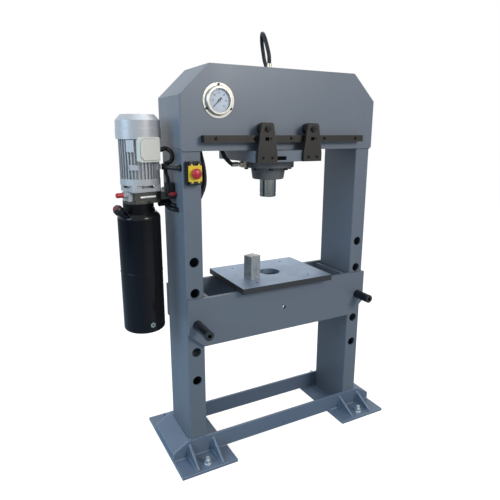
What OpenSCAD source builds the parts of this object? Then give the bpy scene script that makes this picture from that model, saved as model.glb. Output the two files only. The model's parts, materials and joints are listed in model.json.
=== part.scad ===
// H-frame hydraulic press with a roller-hung cylinder carriage and a side-mounted power pack.
// Millimetres, +Z up. The origin is on the floor, midway between the two columns and between
// the front and the rear of the frame. The operator stands on the -Y side.

/* [Columns and crown] */
// Width of the frame over the outer faces of the columns
frame_w = 936; // [800:1:1200]
// Width of one column, seen from the front
column_w = 78; // [60:1:100]
// Depth of one column, front to rear
column_d = 243; // [216:1:300]
// Wall of the column box section
column_wall = 8; // [4:1:12]
// Height of the underside of the crown
crown_bottom_z = 1355; // [1340:1:1500]
// Height of the crown
crown_h = 325; // [300:1:400]
// How far the crown's shoulders are below its top
shoulder_drop = 118; // [80:1:150]
// Width of the flat top of the crown
crown_top_w = 704; // [600:1:800]
// Thickness of the crown's plates
crown_t = 7; // [5:0.5:12]

/* [Feet] */
// Width of one foot plate, left to right
foot_w = 260; // [220:1:320]
// Depth of one foot plate, front to rear
foot_d = 494; // [440:1:560]
// Thickness of the foot plates
foot_t = 12; // [8:1:20]
// How far the feet reach out past the columns
foot_out = 87; // [60:1:120]
// Height of the base bars above the foot plates
bar_h = 79; // [60:1:100]
// Thickness of the base bars
bar_t = 10; // [6:1:16]
// Thickness of the gussets on the feet
gusset_t = 8; // [5:1:12]
// Diameter of the anchor bolts
anchor_d = 16; // [12:1:20]

/* [Bed] */
// Height of the top of the bed beams
bed_top_z = 753; // [740:1:770]
// Height of the bed beams
bed_h = 217; // [200:1:240]
// Thickness of the bed beams
bed_t = 18; // [12:1:25]
// Gap between the columns and the bed beams
bed_gap = 1.5; // [1:0.5:4]
// Diameter of the holes for the bed pins
pin_hole_d = 42; // [30:0.5:48]
// Clearance between a bed pin and its holes, on the radius
pin_clear = 1; // [0.5:0.1:2]
// Length of the bed pins
pin_len = 470; // [420:1:520]
// Distance between two levels of pin holes
level_pitch = 134; // [115:1:140]
// Number of the level that carries the bed, from 0 at the bottom
bed_level = 2; // [2:1:2]
// Height of the lowest pin holes
first_level_z = 372; // [355:1:385]
// Number of levels of pin holes
levels = 5; // [4:1:5]
// Width of the press plate
plate_w = 466; // [400:1:560]
// Depth of the press plate
plate_d = 362; // [320:1:420]
// Thickness of the press plate
plate_t = 26; // [18:1:40]
// Diameter of the hole in the middle of the press plate
plate_hole_d = 100; // [60:1:120]
// Height of the loose steel block
block_h = 106; // [60:1:115]

/* [Carriage] */
// Place of the cylinder along the rails, from the middle of the frame
carriage_x = -14; // [-40:1:40]
// Width of the carriage plate
carriage_w = 326; // [300:1:360]
// Depth of the carriage plate
carriage_d = 346; // [340:1:360]
// Thickness of the carriage plate
carriage_t = 46; // [36:1:60]
// Gap between the carriage plate and the crown
carriage_gap = 2; // [1:0.5:4]
// Height of the rails
rail_h = 28; // [22:1:34]
// Depth of the rails, out from the crown
rail_d = 34; // [28:1:38]
// Length of the rails
rail_len = 780; // [720:1:860]
// Height of the rails' top edge above the underside of the crown
rail_top = 60; // [50:1:70]
// Diameter of the rollers
roller_d = 50; // [40:1:56]
// Diameter of the roller axles
axle_d = 16; // [12:1:20]
// Distance between the two hangers on one side
hanger_pitch = 222; // [200:1:230]
// Thickness of the hangers
hanger_t = 14; // [10:1:20]

/* [Cylinder] */
// Diameter of the ram
ram_d = 74; // [60:1:92]
// Bore of the cylinder
bore_d = 100; // [96:1:110]
// Outside diameter of the cylinder barrel
barrel_d = 130; // [124:1:140]
// Diameter of the cylinder flange
flange_d = 232; // [222:1:290]
// Thickness of the cylinder flange
flange_t = 32; // [24:1:40]
// Height of the gland below the flange
gland_h = 52; // [36:1:60]
// How far the ram shows below the gland when it is drawn in
ram_out = 81; // [60:1:120]
// Length of the barrel above the carriage plate
barrel_up = 287; // [270:1:295]

/* [Gauge and switch] */
// Diameter of the gauge flange
gauge_d = 132; // [120:1:150]
// Diameter of the gauge dial
dial_d = 92; // [80:1:96]
// Gap between the gauge flange and the column beside it
gauge_gap = 9; // [4:1:40]
// Height of the gauge above the underside of the crown
gauge_up = 190; // [170:1:200]
// Width of the switch box
switch_w = 60; // [50:1:66]
// Height of the switch box
switch_h = 90; // [80:1:100]
// Depth of the switch box
switch_d = 28; // [22:1:40]
// Diameter of the stop button
stop_d = 40; // [34:1:44]

/* [Power pack] */
// Diameter of the oil tank
tank_d = 174; // [150:1:180]
// Gap between the tank and the column
tank_gap = 50; // [40:1:70]
// Height of the bottom of the tank
tank_bottom_z = 602; // [540:1:700]
// Height of the top of the tank
tank_top_z = 1112; // [1090:1:1120]
// Wall of the tank
tank_wall = 3; // [2:0.5:5]
// Diameter of the motor body over its fins
motor_d = 160; // [140:1:164]
// Number of cooling fins round the motor
fin_count = 36; // [24:1:48]
// Depth of the cooling fins
fin_depth = 10; // [6:1:14]
// Diameter of the fan cowl
cowl_d = 176; // [168:1:184]
// Diameter of the motor shaft
shaft_d = 19; // [14:1:24]
// Number of fan blades
blade_count = 7; // [5:1:10]

/* [Hidden] */

$fn = 48;

// Colours
paint = [0.43, 0.46, 0.49];
burnished = [0.26, 0.25, 0.24];
black = [0.08, 0.08, 0.09];
steel = [0.62, 0.64, 0.66];
bright = [0.80, 0.81, 0.82];
zinc = [0.72, 0.74, 0.72];
silver = [0.72, 0.75, 0.78];
red = [0.78, 0.16, 0.18];
yellow = [0.93, 0.76, 0.16];
green = [0.16, 0.55, 0.30];
cream = [0.86, 0.85, 0.80];
brass = [0.72, 0.58, 0.32];
white = [0.94, 0.94, 0.93];

// Clearances
run = 0.05;      // running fit, on the radius
thread_gap = 0.05; // between a screw and its thread, on the radius
loose = 0.5;     // plain clearance
part_gap = 0.3;  // between moving parts that don't touch

// Frame
column_x = frame_w / 2 - column_w / 2;
column_in = frame_w / 2 - column_w;
column_y = column_d / 2;
crown_half = frame_w / 2 + crown_t;
crown_top_z = crown_bottom_z + crown_h;
shoulder_z = crown_top_z - shoulder_drop;
crown_y = column_y + crown_t;
crown_corner = 10;
column_corner = 6;
top_half = crown_top_w / 2;
slope_angle = atan2(crown_half - top_half, crown_top_z - shoulder_z);
inner_shoulder_z = shoulder_z - crown_t * tan(slope_angle / 2);
inner_top_half = top_half - crown_t * tan((90 - slope_angle) / 2);
hose_slot_w = 480;
hose_slot_d = 110;

// Feet
foot_outer = frame_w / 2 + foot_out;
foot_inner = foot_outer - foot_w;
bar_y = column_y;
bar_top_z = foot_t + bar_h;
bar_slope_x = frame_w / 2 + 12;
bar_end_z = foot_t + 35;
cover_t = 5;
anchor_x = frame_w / 2 - 43;
anchor_y = foot_d / 2 - 38;
anchor_up = 32;
gusset_x = [frame_w / 2 + 7, column_in - 30];
gusset_foot = foot_d / 2 - 10;
gusset_h = 64;

// Bed
bed_y = column_y + bed_gap;
bed_front = bed_y + bed_t;
bed_bottom_z = bed_top_z - bed_h;
bed_chamfer_w = 70;
bed_chamfer_h = 63;
cross_t = 15;
cross_x = column_in - 14 - cross_t;
pin_z = first_level_z + bed_level * level_pitch;
pin_r = pin_hole_d / 2 - pin_clear;
left_pin_front = 268;
right_pin_front = 233;
plate_top_z = bed_top_z + plate_t;
plate_screw_x = 136;
plate_screw_y = 126;
plate_screw_r = 5;
block_w = 56;
block_d = 52;
block_x = -120;
block_y = -48;
block_turn = 15;

// Carriage
carriage_top_z = crown_bottom_z - carriage_gap;
carriage_z = carriage_top_z - carriage_t;
rail_top_z = crown_bottom_z + rail_top;
rail_screw_pitch = 172;
rail_screw_r = 5;
screw_head_r = 8;
screw_head_h = 8;
roller_w = 26;
roller_r = roller_d / 2;
roller_z = rail_top_z + roller_r + part_gap;
roller_y = crown_y + 7.5 + roller_w / 2;
slot_w = 50;
slot_h = 16;
slot_deep = 8;
hanger_y = carriage_d / 2;
hanger_top_z = roller_z + 24;
hanger_half = 46;
hanger_top_half = 28;
hanger_screw_x = 22;
hanger_screw_z = carriage_z + 18;
axle_r = axle_d / 2;
flange_pcd_r = (flange_d + barrel_d) / 4 + 8;
flange_bolt_r = 6;
flange_bolts = 8;

// Cylinder
flange_z = carriage_z - flange_t;
gland_z = flange_z - gland_h;
ram_nose_z = gland_z - ram_out;
barrel_top_z = carriage_top_z + barrel_up;
barrel_cap = 28;
gland_spigot = 25;
piston_h = 30;
piston_top_gap = 10;
piston_top_z = barrel_top_z - barrel_cap - piston_top_gap;
port_z = flange_z + flange_t / 2;
port_r = 8;
port_flat = 32;
port_seat = 4;
barrel_bevel = 4;
flange_bevel = 2;
nose_thread_r = 8;
nose_thread_len = 30;

// Gauge
gauge_x = column_in - gauge_gap - gauge_d / 2;
gauge_z = crown_bottom_z + gauge_up;
gauge_can_r = dial_d / 2 + 4;
gauge_screw_r = gauge_d / 2 - 6;

// Switch
switch_x = column_x;
switch_z = crown_bottom_z - 83;
switch_y = column_y + switch_d;
start_up = 22;
start_r = 8;
stop_stem_r = 7;
cover_w = switch_w - 8;
cover_h = switch_h - 10;
cover_gap = 1;
cover_deep = 11;
lid_wall = 2.5;
hinge_up = cover_h / 2 + 3;
hinge_y = switch_y + 5;
hinge_r = 2;
knuckle_r = 4.4;
knuckle_x = [12, 22];

// Power pack
side_x = -frame_w / 2;
pack_y = 35;
tank_r = tank_d / 2;
tank_x = side_x - tank_gap - tank_r;
motor_shift = 14;
motor_x = tank_x + motor_shift;
tank_mouth_r = 60;
collar_h = 12;
spigot_h = 34;
block_up = 24;
block_rise = 47;
manifold_block = 105;
manifold_top_z = tank_top_z + collar_h + block_up + block_rise;
bell_h = 27;
bell_top_z = manifold_top_z + bell_h;
shield_h = 25;
shield_top_z = bell_top_z + shield_h;
fin_len = 155;
fin_top_z = shield_top_z + fin_len;
cowl_lap = 2;
cowl_bottom_z = fin_top_z - cowl_lap;
cowl_skirt = 40;
cowl_step_z = cowl_bottom_z + cowl_skirt;
cowl_bevel = 22;
cowl_h = 93;
cowl_top_z = cowl_bottom_z + cowl_h;
cowl_bevel_z = cowl_top_z - cowl_bevel;
cowl_wall = 2.5;
motor_turn = 12;
box_w = 88;
box_h = 95;
box_up = 91;
box_z = bell_top_z + box_up;
box_front = 92;
box_back = 66;

manifold_dip = 30;
pump_h = 64;
pump_z = tank_top_z - manifold_dip - pump_h;
shaft_in = 48;
shaft_end_z = pump_z + shaft_in;
shaft_hole_r = 20;
valve_x = side_x - 22;
valve_y = -14;
override_x = side_x - 29;
override_y = -47;
override_z = manifold_top_z - 11;
relief_t = 18;
relief_y = -12;
relief_down = 11;
relief_hex = 10;
valve_w = 40;
valve_h = 31;
valve_z = manifold_top_z - valve_h;
coil_h = 32;

// Hoses and conduits
hose_d = 17;
hose_hole_r = 12;
outer_hose_y = [-56, -30];
inner_hose_y = [-24, 2];
hose_rise = [-12, 0];
hose_port_len = 20;
hose_port_y = [-47, -23];
hose_port_z = [for (rise = hose_rise) manifold_top_z - 42 + rise];
port_out = manifold_block / 2 + hose_port_len;
hose_hole_z = [for (z = hose_port_z) z - 21];
top_fitting_up = 33;
sleeve_len = 30;
sleeve_r = 10;
top_fitting_z = crown_top_z + top_fitting_up;
conduit_d = 18;
conduit_hole_r = 10;
conduit_y = -104;
conduit_z = shield_top_z + 44;
box_gland_y = -79;
box_gland_z = box_z + 47;
gland_len = 14;
junction = [side_x - 32, valve_y, conduit_z + 1];

// A point given in the turned frame that the motor and its block share
function on_block(x, y, z) = [
    motor_x + x * cos(motor_turn) - y * sin(motor_turn),
    pack_y + x * sin(motor_turn) + y * cos(motor_turn), z
];
motor_way = [cos(motor_turn), sin(motor_turn), 0];

// The part of each hose's route that goes from the power pack through the left column
hose_bends = [
    [[0, 0, 0], [11, -5, -3], [15, -31, -14], [25, -54, -19]],
    [[0, 0, 0], [15, -2, -1], [30, -18, -5], [34, -42, -16]]
];
function through_column(i) = [
    for (bend = hose_bends[i]) on_block(port_out, hose_port_y[i], hose_port_z[i]) + bend,
    [side_x - 2, outer_hose_y[i] + 1, hose_hole_z[i]],
    [side_x + column_wall + 4, outer_hose_y[i], hose_hole_z[i]],
    [-column_x, (outer_hose_y[i] + inner_hose_y[i]) / 2, hose_hole_z[i]],
    [-column_in - column_wall - 4, inner_hose_y[i], hose_hole_z[i]],
    [-column_in + 2, inner_hose_y[i], hose_hole_z[i]]
];

// The first hose rises into the crown, and loops out of its top to the cylinder's cap
top_fitting = [carriage_x, 0, top_fitting_z];
top_route = [
    [-358, -20, 1156], [-332, -14, 1212], [-332, -10, 1280], [-346, -4, 1360], [-338, 10, 1440],
    [-300, 34, 1525], [-236, 62, 1592], [-150, 90, 1628], [-66, 88, 1642],
    top_fitting + [20, 66, -30], top_fitting + [16, 74, 30], top_fitting + [6, 74, 84],
    top_fitting + [-4, 60, 118], top_fitting + [-12, 38, 124], top_fitting + [-13, 18, 104],
    top_fitting + [-8, 6, 68], top_fitting + [-2, 0, 34], top_fitting
];

// The second hose turns back down inside the crown, to the port in the cylinder's flange
lower_fitting = [carriage_x - flange_d / 2 - 37 - sleeve_len, 0, port_z];
lower_route = [
    [-360, 4, 1156], [-338, 9, 1212], [-338, 13, 1280], [-352, 26, 1360], [-338, 34, 1430],
    [-300, 30, 1460], [-264, 16, 1430], [-247, 4, 1371],
    lower_fitting + [-34, 0, 34], lower_fitting
];

// ---------------------------------------------------------------- helpers

// A 2D outline drawn in X and Z, given a thickness from y0 to y1.
module extrude_y(y0, y1) {
    translate([0, y1, 0]) rotate([90, 0, 0]) linear_extrude(y1 - y0) children();
}

// A 2D outline drawn in Y and Z, given a thickness from x0 to x1.
module extrude_x(x0, x1) {
    translate([x0, 0, 0]) rotate([90, 0, 90]) linear_extrude(x1 - x0) children();
}

// A rectangle with round corners, centred.
module round_rect(w, d, r) {
    square([w - 2 * r, d], center = true);
    square([w, d - 2 * r], center = true);
    for (sx = [-1, 1], sy = [-1, 1])
        translate([sx * (w / 2 - r), sy * (d / 2 - r)]) circle(r);
}

// A cylinder along Y from y0 to y1 (y0 < y1).
module rod_y(x, z, r, y0, y1) {
    translate([x, y1, z]) rotate([90, 0, 0]) cylinder(r = r, h = y1 - y0);
}

// A cylinder along X from x0 to x1 (x0 < x1).
module rod_x(y, z, r, x0, x1) {
    translate([x0, y, z]) rotate([0, 90, 0]) cylinder(r = r, h = x1 - x0);
}

// A ring that stands on z, round an upright axis.
module ring(r_out, r_in, h) {
    difference() {
        cylinder(r = r_out, h = h);
        translate([0, 0, -1]) cylinder(r = r_in, h = h + 2);
    }
}

// Children placed on the left (-1) and on the right (1) of the frame.
module both_sides() {
    for (s = [0, 1]) mirror([s, 0, 0]) children();
}

// Children placed at the front and at the rear of the frame.
module front_and_rear() {
    for (s = [0, 1]) mirror([0, s, 0]) children();
}

// ---------------------------------------------------------------- swept hoses

function unit(v) = v / norm(v);
function tangent(path, i) =
    unit(path[min(i + 1, len(path) - 1)] - path[max(i - 1, 0)]);
// Carries a side vector along the path without twist.
function carry(side, t) = unit(side - (side * t) * t);
function sides_of(path, i) =
    i == 0 ? carry(abs(tangent(path, 0).z) > 0.9 ? [0, 1, 0] : [0, 0, 1], tangent(path, 0))
           : carry(sides_of(path, i - 1), tangent(path, i));
// A straight piece's face sits on the wall it comes out of, so the end rings keep their own facing.
function end_tangent(path, i, t0, t1) =
    i == 0 && !is_undef(t0) ? t0 : i == len(path) - 1 && !is_undef(t1) ? t1 : tangent(path, i);

module hose(path, d, t0, t1, n = 8) {
    last = len(path) - 1;
    points = [
        for (i = [0:last])
            let (t = end_tangent(path, i, t0, t1), a = carry(sides_of(path, i), t), b = cross(t, a))
            for (k = [0:n - 1])
                path[i] + d / 2 * (cos(360 * k / n) * a + sin(360 * k / n) * b)
    ];
    walls = [
        for (i = [0:last - 1], k = [0:n - 1])
            let (m = (k + 1) % n) each [
                [i * n + k, i * n + m, (i + 1) * n + k],
                [i * n + m, (i + 1) * n + m, (i + 1) * n + k]
            ]
    ];
    start = [[for (k = [n - 1:-1:0]) k]];
    end = [[for (k = [0:n - 1]) last * n + k]];
    polyhedron(points, concat(start, walls, end), convexity = 6);
}

// ---------------------------------------------------------------- columns and crown

// The box section of the left column, with its top cut to seat under the crown's slope.
module column_body() {
    intersection() {
        translate([column_x, 0, 0]) linear_extrude(crown_top_z) difference() {
            round_rect(column_w, column_d, column_corner);
            square([column_w - 2 * column_wall, column_d - 2 * column_wall], center = true);
        }
        extrude_y(-column_d, column_d) polygon([
            [column_in - 1, foot_t], [frame_w / 2 + 1, foot_t],
            [frame_w / 2 + 1, inner_shoulder_z - 1 / tan(slope_angle) - part_gap],
            [column_in - 1, inner_shoulder_z + (column_w + 1) / tan(slope_angle) - part_gap]
        ]);
    }
}

module pin_holes() {
    for (k = [0:levels - 1])
        rod_y(column_x, first_level_z + k * level_pitch, pin_hole_d / 2, -column_d, column_d);
}

// Holes in the left column for the two hoses and for the switch's conduit.
module left_column() {
    color(paint) difference() {
        mirror([1, 0, 0]) { difference() { column_body(); pin_holes(); } }
        for (i = [0, 1]) {
            rod_x(outer_hose_y[i], hose_hole_z[i], hose_hole_r, side_x - 1, -column_x);
            rod_x(inner_hose_y[i], hose_hole_z[i], hose_hole_r, -column_x, -column_in + 1);
        }
        rod_x(conduit_y, conduit_z, conduit_hole_r, -frame_w / 2 - 1, -column_x);
        rod_y(-switch_x, switch_z, conduit_hole_r, -column_d, 0);
    }
}

module right_column() {
    color(paint) difference() { column_body(); pin_holes(); }
}

// The crown seen from the front: square shoulders that slope in to a narrower flat top.
module crown_outline() {
    polygon([
        [-crown_half + crown_corner, crown_bottom_z], [crown_half - crown_corner, crown_bottom_z],
        [crown_half, crown_bottom_z + crown_corner], [crown_half, shoulder_z],
        [top_half, crown_top_z], [-top_half, crown_top_z],
        [-crown_half, shoulder_z], [-crown_half, crown_bottom_z + crown_corner]
    ]);
}

// One face plate, with its upright edges rounded.
module crown_plate() {
    intersection() {
        extrude_y(-crown_y, -column_y) crown_outline();
        linear_extrude(crown_top_z + 1) round_rect(2 * crown_half, 2 * crown_y, crown_t - 1);
    }
}

module rail_screw_holes() {
    for (k = [-2:2])
        rod_y(k * rail_screw_pitch, rail_top_z - rail_h / 2, rail_screw_r + loose,
              -crown_y - rail_d - 1, -column_y + 1);
}

// The front plate has the gauge's hole and its screw holes, the rear plate only those of the rail.
module crown_plates() {
    color(paint) {
        difference() {
            crown_plate();
            rail_screw_holes();
            rod_y(-gauge_x, gauge_z, gauge_can_r + loose, -crown_y - 1, -column_y + 1);
            gauge_screw_places() rod_y(0, 0, gauge_screw_shank + loose, -crown_y - 1, -column_y + 1);
        }
        mirror([0, 1, 0]) difference() { crown_plate(); rail_screw_holes(); }
    }
}

// The folded strip between the face plates: both sides, both slopes and the top, with the hose slot.
module crown_wrap() {
    color(paint) difference() {
        extrude_y(-column_y, column_y) difference() {
            polygon([
                [-crown_half, crown_bottom_z + crown_corner], [crown_half, crown_bottom_z + crown_corner],
                [crown_half, shoulder_z], [top_half, crown_top_z],
                [-top_half, crown_top_z], [-crown_half, shoulder_z]
            ]);
            polygon([
                [-frame_w / 2, crown_bottom_z - 1], [frame_w / 2, crown_bottom_z - 1],
                [frame_w / 2, inner_shoulder_z], [inner_top_half, crown_top_z - crown_t],
                [-inner_top_half, crown_top_z - crown_t], [-frame_w / 2, inner_shoulder_z]
            ]);
        }
        translate([-hose_slot_w / 2, -hose_slot_d / 2 + 30, crown_top_z - crown_t - 1])
            cube([hose_slot_w, hose_slot_d, crown_t + 2]);
    }
}

// ---------------------------------------------------------------- feet

module foot_plates() {
    color(paint) both_sides() difference() {
        translate([foot_inner, -foot_d / 2, 0]) cube([foot_w, foot_d, foot_t]);
        front_and_rear() translate([anchor_x, -anchor_y, -1]) cylinder(r = anchor_d / 2 + 1, h = foot_t + 2);
    }
}

// The two flat bars on edge that join the feet, with sloped ends.
module base_bars() {
    color(paint) front_and_rear() extrude_y(-bar_y - bar_t, -bar_y) polygon([
        [-foot_outer, foot_t], [foot_outer, foot_t], [foot_outer, bar_end_z],
        [bar_slope_x, bar_top_z], [-bar_slope_x, bar_top_z], [-foot_outer, bar_end_z]
    ]);
}

// A sloped cover between the bars on each foot, and four gussets on each foot.
module foot_stiffeners() {
    bar_slope = atan2(bar_top_z - bar_end_z, foot_outer - bar_slope_x);
    inset = cover_t * tan((90 - bar_slope) / 2);
    color(paint) both_sides() {
        extrude_y(-bar_y, bar_y) polygon([
            [frame_w / 2, bar_top_z], [bar_slope_x, bar_top_z], [foot_outer, bar_end_z],
            [foot_outer, foot_t], [foot_outer - cover_t, foot_t], [foot_outer - cover_t, bar_end_z - inset],
            [bar_slope_x - cover_t * tan(bar_slope / 2), bar_top_z - cover_t], [frame_w / 2, bar_top_z - cover_t]
        ]);
        front_and_rear() for (x = gusset_x) extrude_x(x, x + gusset_t) polygon([
            [-bar_y - bar_t, foot_t], [-bar_y - bar_t, foot_t + gusset_h],
            [-gusset_foot, foot_t + 8], [-gusset_foot, foot_t]
        ]);
    }
}

// Each anchor is a threaded stud through the foot plate, with a washer and a nut.
washer_t = 3;
nut_h = 13;
module anchor_bolts() {
    color(zinc) both_sides() front_and_rear() translate([anchor_x, -anchor_y, 0]) {
        cylinder(r = anchor_d / 2, h = foot_t + anchor_up);
        translate([0, 0, foot_t]) ring(anchor_d + 1, anchor_d / 2 + thread_gap, washer_t);
        translate([0, 0, foot_t + washer_t]) difference() {
            cylinder(r = anchor_d * 0.87, h = nut_h, $fn = 6);
            translate([0, 0, -1]) cylinder(r = anchor_d / 2 + thread_gap, h = nut_h + 2);
        }
    }
}

// ---------------------------------------------------------------- bed

module bed_plate() {
    lift_hole_r = 9;
    difference() {
        extrude_y(-bed_front, -bed_y) polygon([
            [-frame_w / 2, bed_top_z], [-frame_w / 2, bed_bottom_z + bed_chamfer_h],
            [-frame_w / 2 + bed_chamfer_w, bed_bottom_z], [frame_w / 2 - bed_chamfer_w, bed_bottom_z],
            [frame_w / 2, bed_bottom_z + bed_chamfer_h], [frame_w / 2, bed_top_z]
        ]);
        both_sides() rod_y(column_x, pin_z, pin_hole_d / 2, -bed_front - 1, -bed_y + 1);
        rod_y(0, bed_bottom_z + bed_h / 2, lift_hole_r, -bed_front - 1, -bed_y + 1);
    }
}

module bed_front_plate() { color(paint) bed_plate(); }

module bed_rear_plate() { color(paint) mirror([0, 1, 0]) bed_plate(); }

// Plates across the bed, just inside each column, that join the front and rear beams.
module bed_cross_plates() {
    color(paint) both_sides()
        translate([cross_x, -bed_y, bed_bottom_z + 8]) cube([cross_t, 2 * bed_y, bed_h - 16]);
}

module bed_pin(front) {
    bevel = 2;
    grip_hole_r = 8;
    grip_hole_len = 20;
    color(black) translate([0, -front + pin_len, pin_z]) rotate([90, 0, 0]) difference() {
        union() {
            cylinder(r1 = pin_r - bevel, r2 = pin_r, h = bevel);
            translate([0, 0, bevel]) cylinder(r = pin_r, h = pin_len - 2 * bevel);
            translate([0, 0, pin_len - bevel]) cylinder(r1 = pin_r, r2 = pin_r - bevel, h = bevel);
        }
        translate([0, 0, pin_len - grip_hole_len]) cylinder(r = grip_hole_r, h = grip_hole_len + 1);
    }
}

module left_bed_pin() { translate([-column_x, 0, 0]) bed_pin(left_pin_front); }

module right_bed_pin() { translate([column_x, 0, 0]) bed_pin(right_pin_front); }

module press_plate() {
    color(steel) translate([0, 0, bed_top_z]) difference() {
        translate([-plate_w / 2, -plate_d / 2, 0]) cube([plate_w, plate_d, plate_t]);
        translate([0, 0, -1]) cylinder(r = plate_hole_d / 2, h = plate_t + 2);
        for (sx = [-1, 1], sy = [-1, 1])
            translate([sx * plate_screw_x, sy * plate_screw_y, -1]) cylinder(r = plate_screw_r, h = plate_t + 2);
    }
}

// A loose ground block, with its four upright edges chamfered.
module steel_block() {
    edge = 2;
    color(bright) translate([block_x, block_y, plate_top_z]) rotate(block_turn) linear_extrude(block_h) polygon([
        [-block_w / 2 + edge, -block_d / 2], [block_w / 2 - edge, -block_d / 2],
        [block_w / 2, -block_d / 2 + edge], [block_w / 2, block_d / 2 - edge],
        [block_w / 2 - edge, block_d / 2], [-block_w / 2 + edge, block_d / 2],
        [-block_w / 2, block_d / 2 - edge], [-block_w / 2, -block_d / 2 + edge]
    ]);
}

// ---------------------------------------------------------------- rails

module rails() {
    color(burnished) front_and_rear() difference() {
        translate([-rail_len / 2, -crown_y - rail_d, rail_top_z - rail_h]) cube([rail_len, rail_d, rail_h]);
        rail_screw_holes();
        for (k = [-2:2])
            rod_y(k * rail_screw_pitch, rail_top_z - rail_h / 2, screw_head_r + loose,
                  -crown_y - rail_d - 1, -crown_y - rail_d + screw_head_h + 3);
    }
}

// A cap screw along Y: its socket faces -Y at y = head_y, and its shank ends at y = end_y.
module cap_screw(x, z, head_y, end_y, head_r, head_h, shank_r) {
    difference() {
        union() {
            rod_y(x, z, head_r, head_y, head_y + head_h);
            rod_y(x, z, shank_r, head_y + head_h, end_y);
        }
        translate([x, head_y + head_h / 2, z]) rotate([90, 0, 0])
            cylinder(r = head_r * 0.55, h = head_h, $fn = 6);
    }
}

gauge_screw_shank = 2.5;
module gauge_screw_places() {
    for (a = [90, 210, 330])
        translate([-gauge_x + gauge_screw_r * cos(a), 0, gauge_z + gauge_screw_r * sin(a)]) children();
}

module frame_screws() {
    color(black) {
        front_and_rear() for (k = [-2:2])
            cap_screw(k * rail_screw_pitch, rail_top_z - rail_h / 2, -crown_y - rail_d + 3,
                      -column_y, screw_head_r, screw_head_h, rail_screw_r);
        gauge_screw_places()
            cap_screw(0, 0, -crown_y - gauge_flange_t - 3, -column_y, 4.5, 3, gauge_screw_shank);
    }
}

// ---------------------------------------------------------------- carriage

module on_carriage() { translate([carriage_x, 0, 0]) children(); }

module flange_bolt_places() {
    for (k = [0:flange_bolts - 1]) rotate(360 * (k + 0.5) / flange_bolts) translate([flange_pcd_r, 0, 0]) children();
}

// Places of the four hangers: [side, front or rear].
module hanger_places() {
    for (sx = [-1, 1]) front_and_rear() translate([sx * hanger_pitch / 2, 0, 0]) children();
}

module carriage_plate() {
    color(paint) on_carriage() difference() {
        translate([-carriage_w / 2, -carriage_d / 2, carriage_z]) cube([carriage_w, carriage_d, carriage_t]);
        translate([0, 0, carriage_z - 1]) cylinder(r = barrel_d / 2 + loose, h = carriage_t + 2);
        translate([0, 0, carriage_z - 1]) flange_bolt_places() cylinder(r = flange_bolt_r + thread_gap, h = 31);
        hanger_places() for (s = [-1, 1])
            rod_y(s * hanger_screw_x, hanger_screw_z, rail_screw_r + thread_gap,
                  -carriage_d / 2 - 1, -carriage_d / 2 + 26);
        translate([-hanger_pitch / 2 + hanger_half + 3, -carriage_d / 2 - 1, carriage_z + 7])
            cube([slot_w, slot_deep + 1, slot_h]);
    }
}

// The hangers: tapered plates with an axle hole, a window over the rail and two screws in the plate's edge.
module hanger_brackets() {
    color(burnished) on_carriage() hanger_places() difference() {
        extrude_y(-hanger_y - hanger_t, -hanger_y) polygon([
            [-hanger_half, carriage_z], [hanger_half, carriage_z],
            [hanger_half, carriage_z + 36], [hanger_top_half, hanger_top_z - 8],
            [hanger_top_half - 8, hanger_top_z], [-hanger_top_half + 8, hanger_top_z],
            [-hanger_top_half, hanger_top_z - 8], [-hanger_half, carriage_z + 36]
        ]);
        rod_y(0, roller_z, axle_r + run, -hanger_y - hanger_t - 1, -hanger_y + 1);
        translate([-13, -hanger_y - hanger_t - 1, rail_top_z - rail_h / 2 - 8]) cube([20, hanger_t + 2, 15]);
        rod_y(15, rail_top_z - rail_h / 2, 4, -hanger_y - hanger_t - 1, -hanger_y + 1);
        for (s = [-1, 1]) {
            rod_y(s * hanger_screw_x, hanger_screw_z, rail_screw_r + loose,
                  -hanger_y - hanger_t - 1, -hanger_y + 1);
            rod_y(s * hanger_screw_x, hanger_screw_z, screw_head_r + loose,
                  -hanger_y - hanger_t - 1, -hanger_y - hanger_t + screw_head_h);
        }
    }
}

module roller(sx, rear) {
    rim = 3;
    color(black) on_carriage() mirror([0, rear, 0])
        translate([sx * hanger_pitch / 2, -roller_y + roller_w / 2 - roller_w, roller_z]) rotate([-90, 0, 0])
            rotate_extrude() polygon([
                [axle_r + run, 0], [roller_r - 6, 0], [roller_r - 6, 1], [roller_r - rim, 0],
                [roller_r, rim], [roller_r, roller_w - rim], [roller_r - rim, roller_w],
                [axle_r + run, roller_w]
            ]);
}

module front_left_roller() { roller(-1, 0); }

module front_right_roller() { roller(1, 0); }

module rear_left_roller() { roller(-1, 1); }

module rear_right_roller() { roller(1, 1); }

// Each axle has a collar behind the hanger, a keeper behind the roller and a thread for its nut.
module roller_axles() {
    collar_r = axle_r + 4;
    keeper_r = axle_r + 3;
    roller_front = -roller_y - roller_w / 2;
    roller_back = -roller_y + roller_w / 2;
    color(black) on_carriage() hanger_places() {
        rod_y(0, roller_z, axle_r, -hanger_y - hanger_t - 9, roller_back + part_gap + 2);
        rod_y(0, roller_z, collar_r, -hanger_y, roller_front - part_gap);
        rod_y(0, roller_z, keeper_r, roller_back + part_gap, roller_back + part_gap + 2);
    }
}

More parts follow.
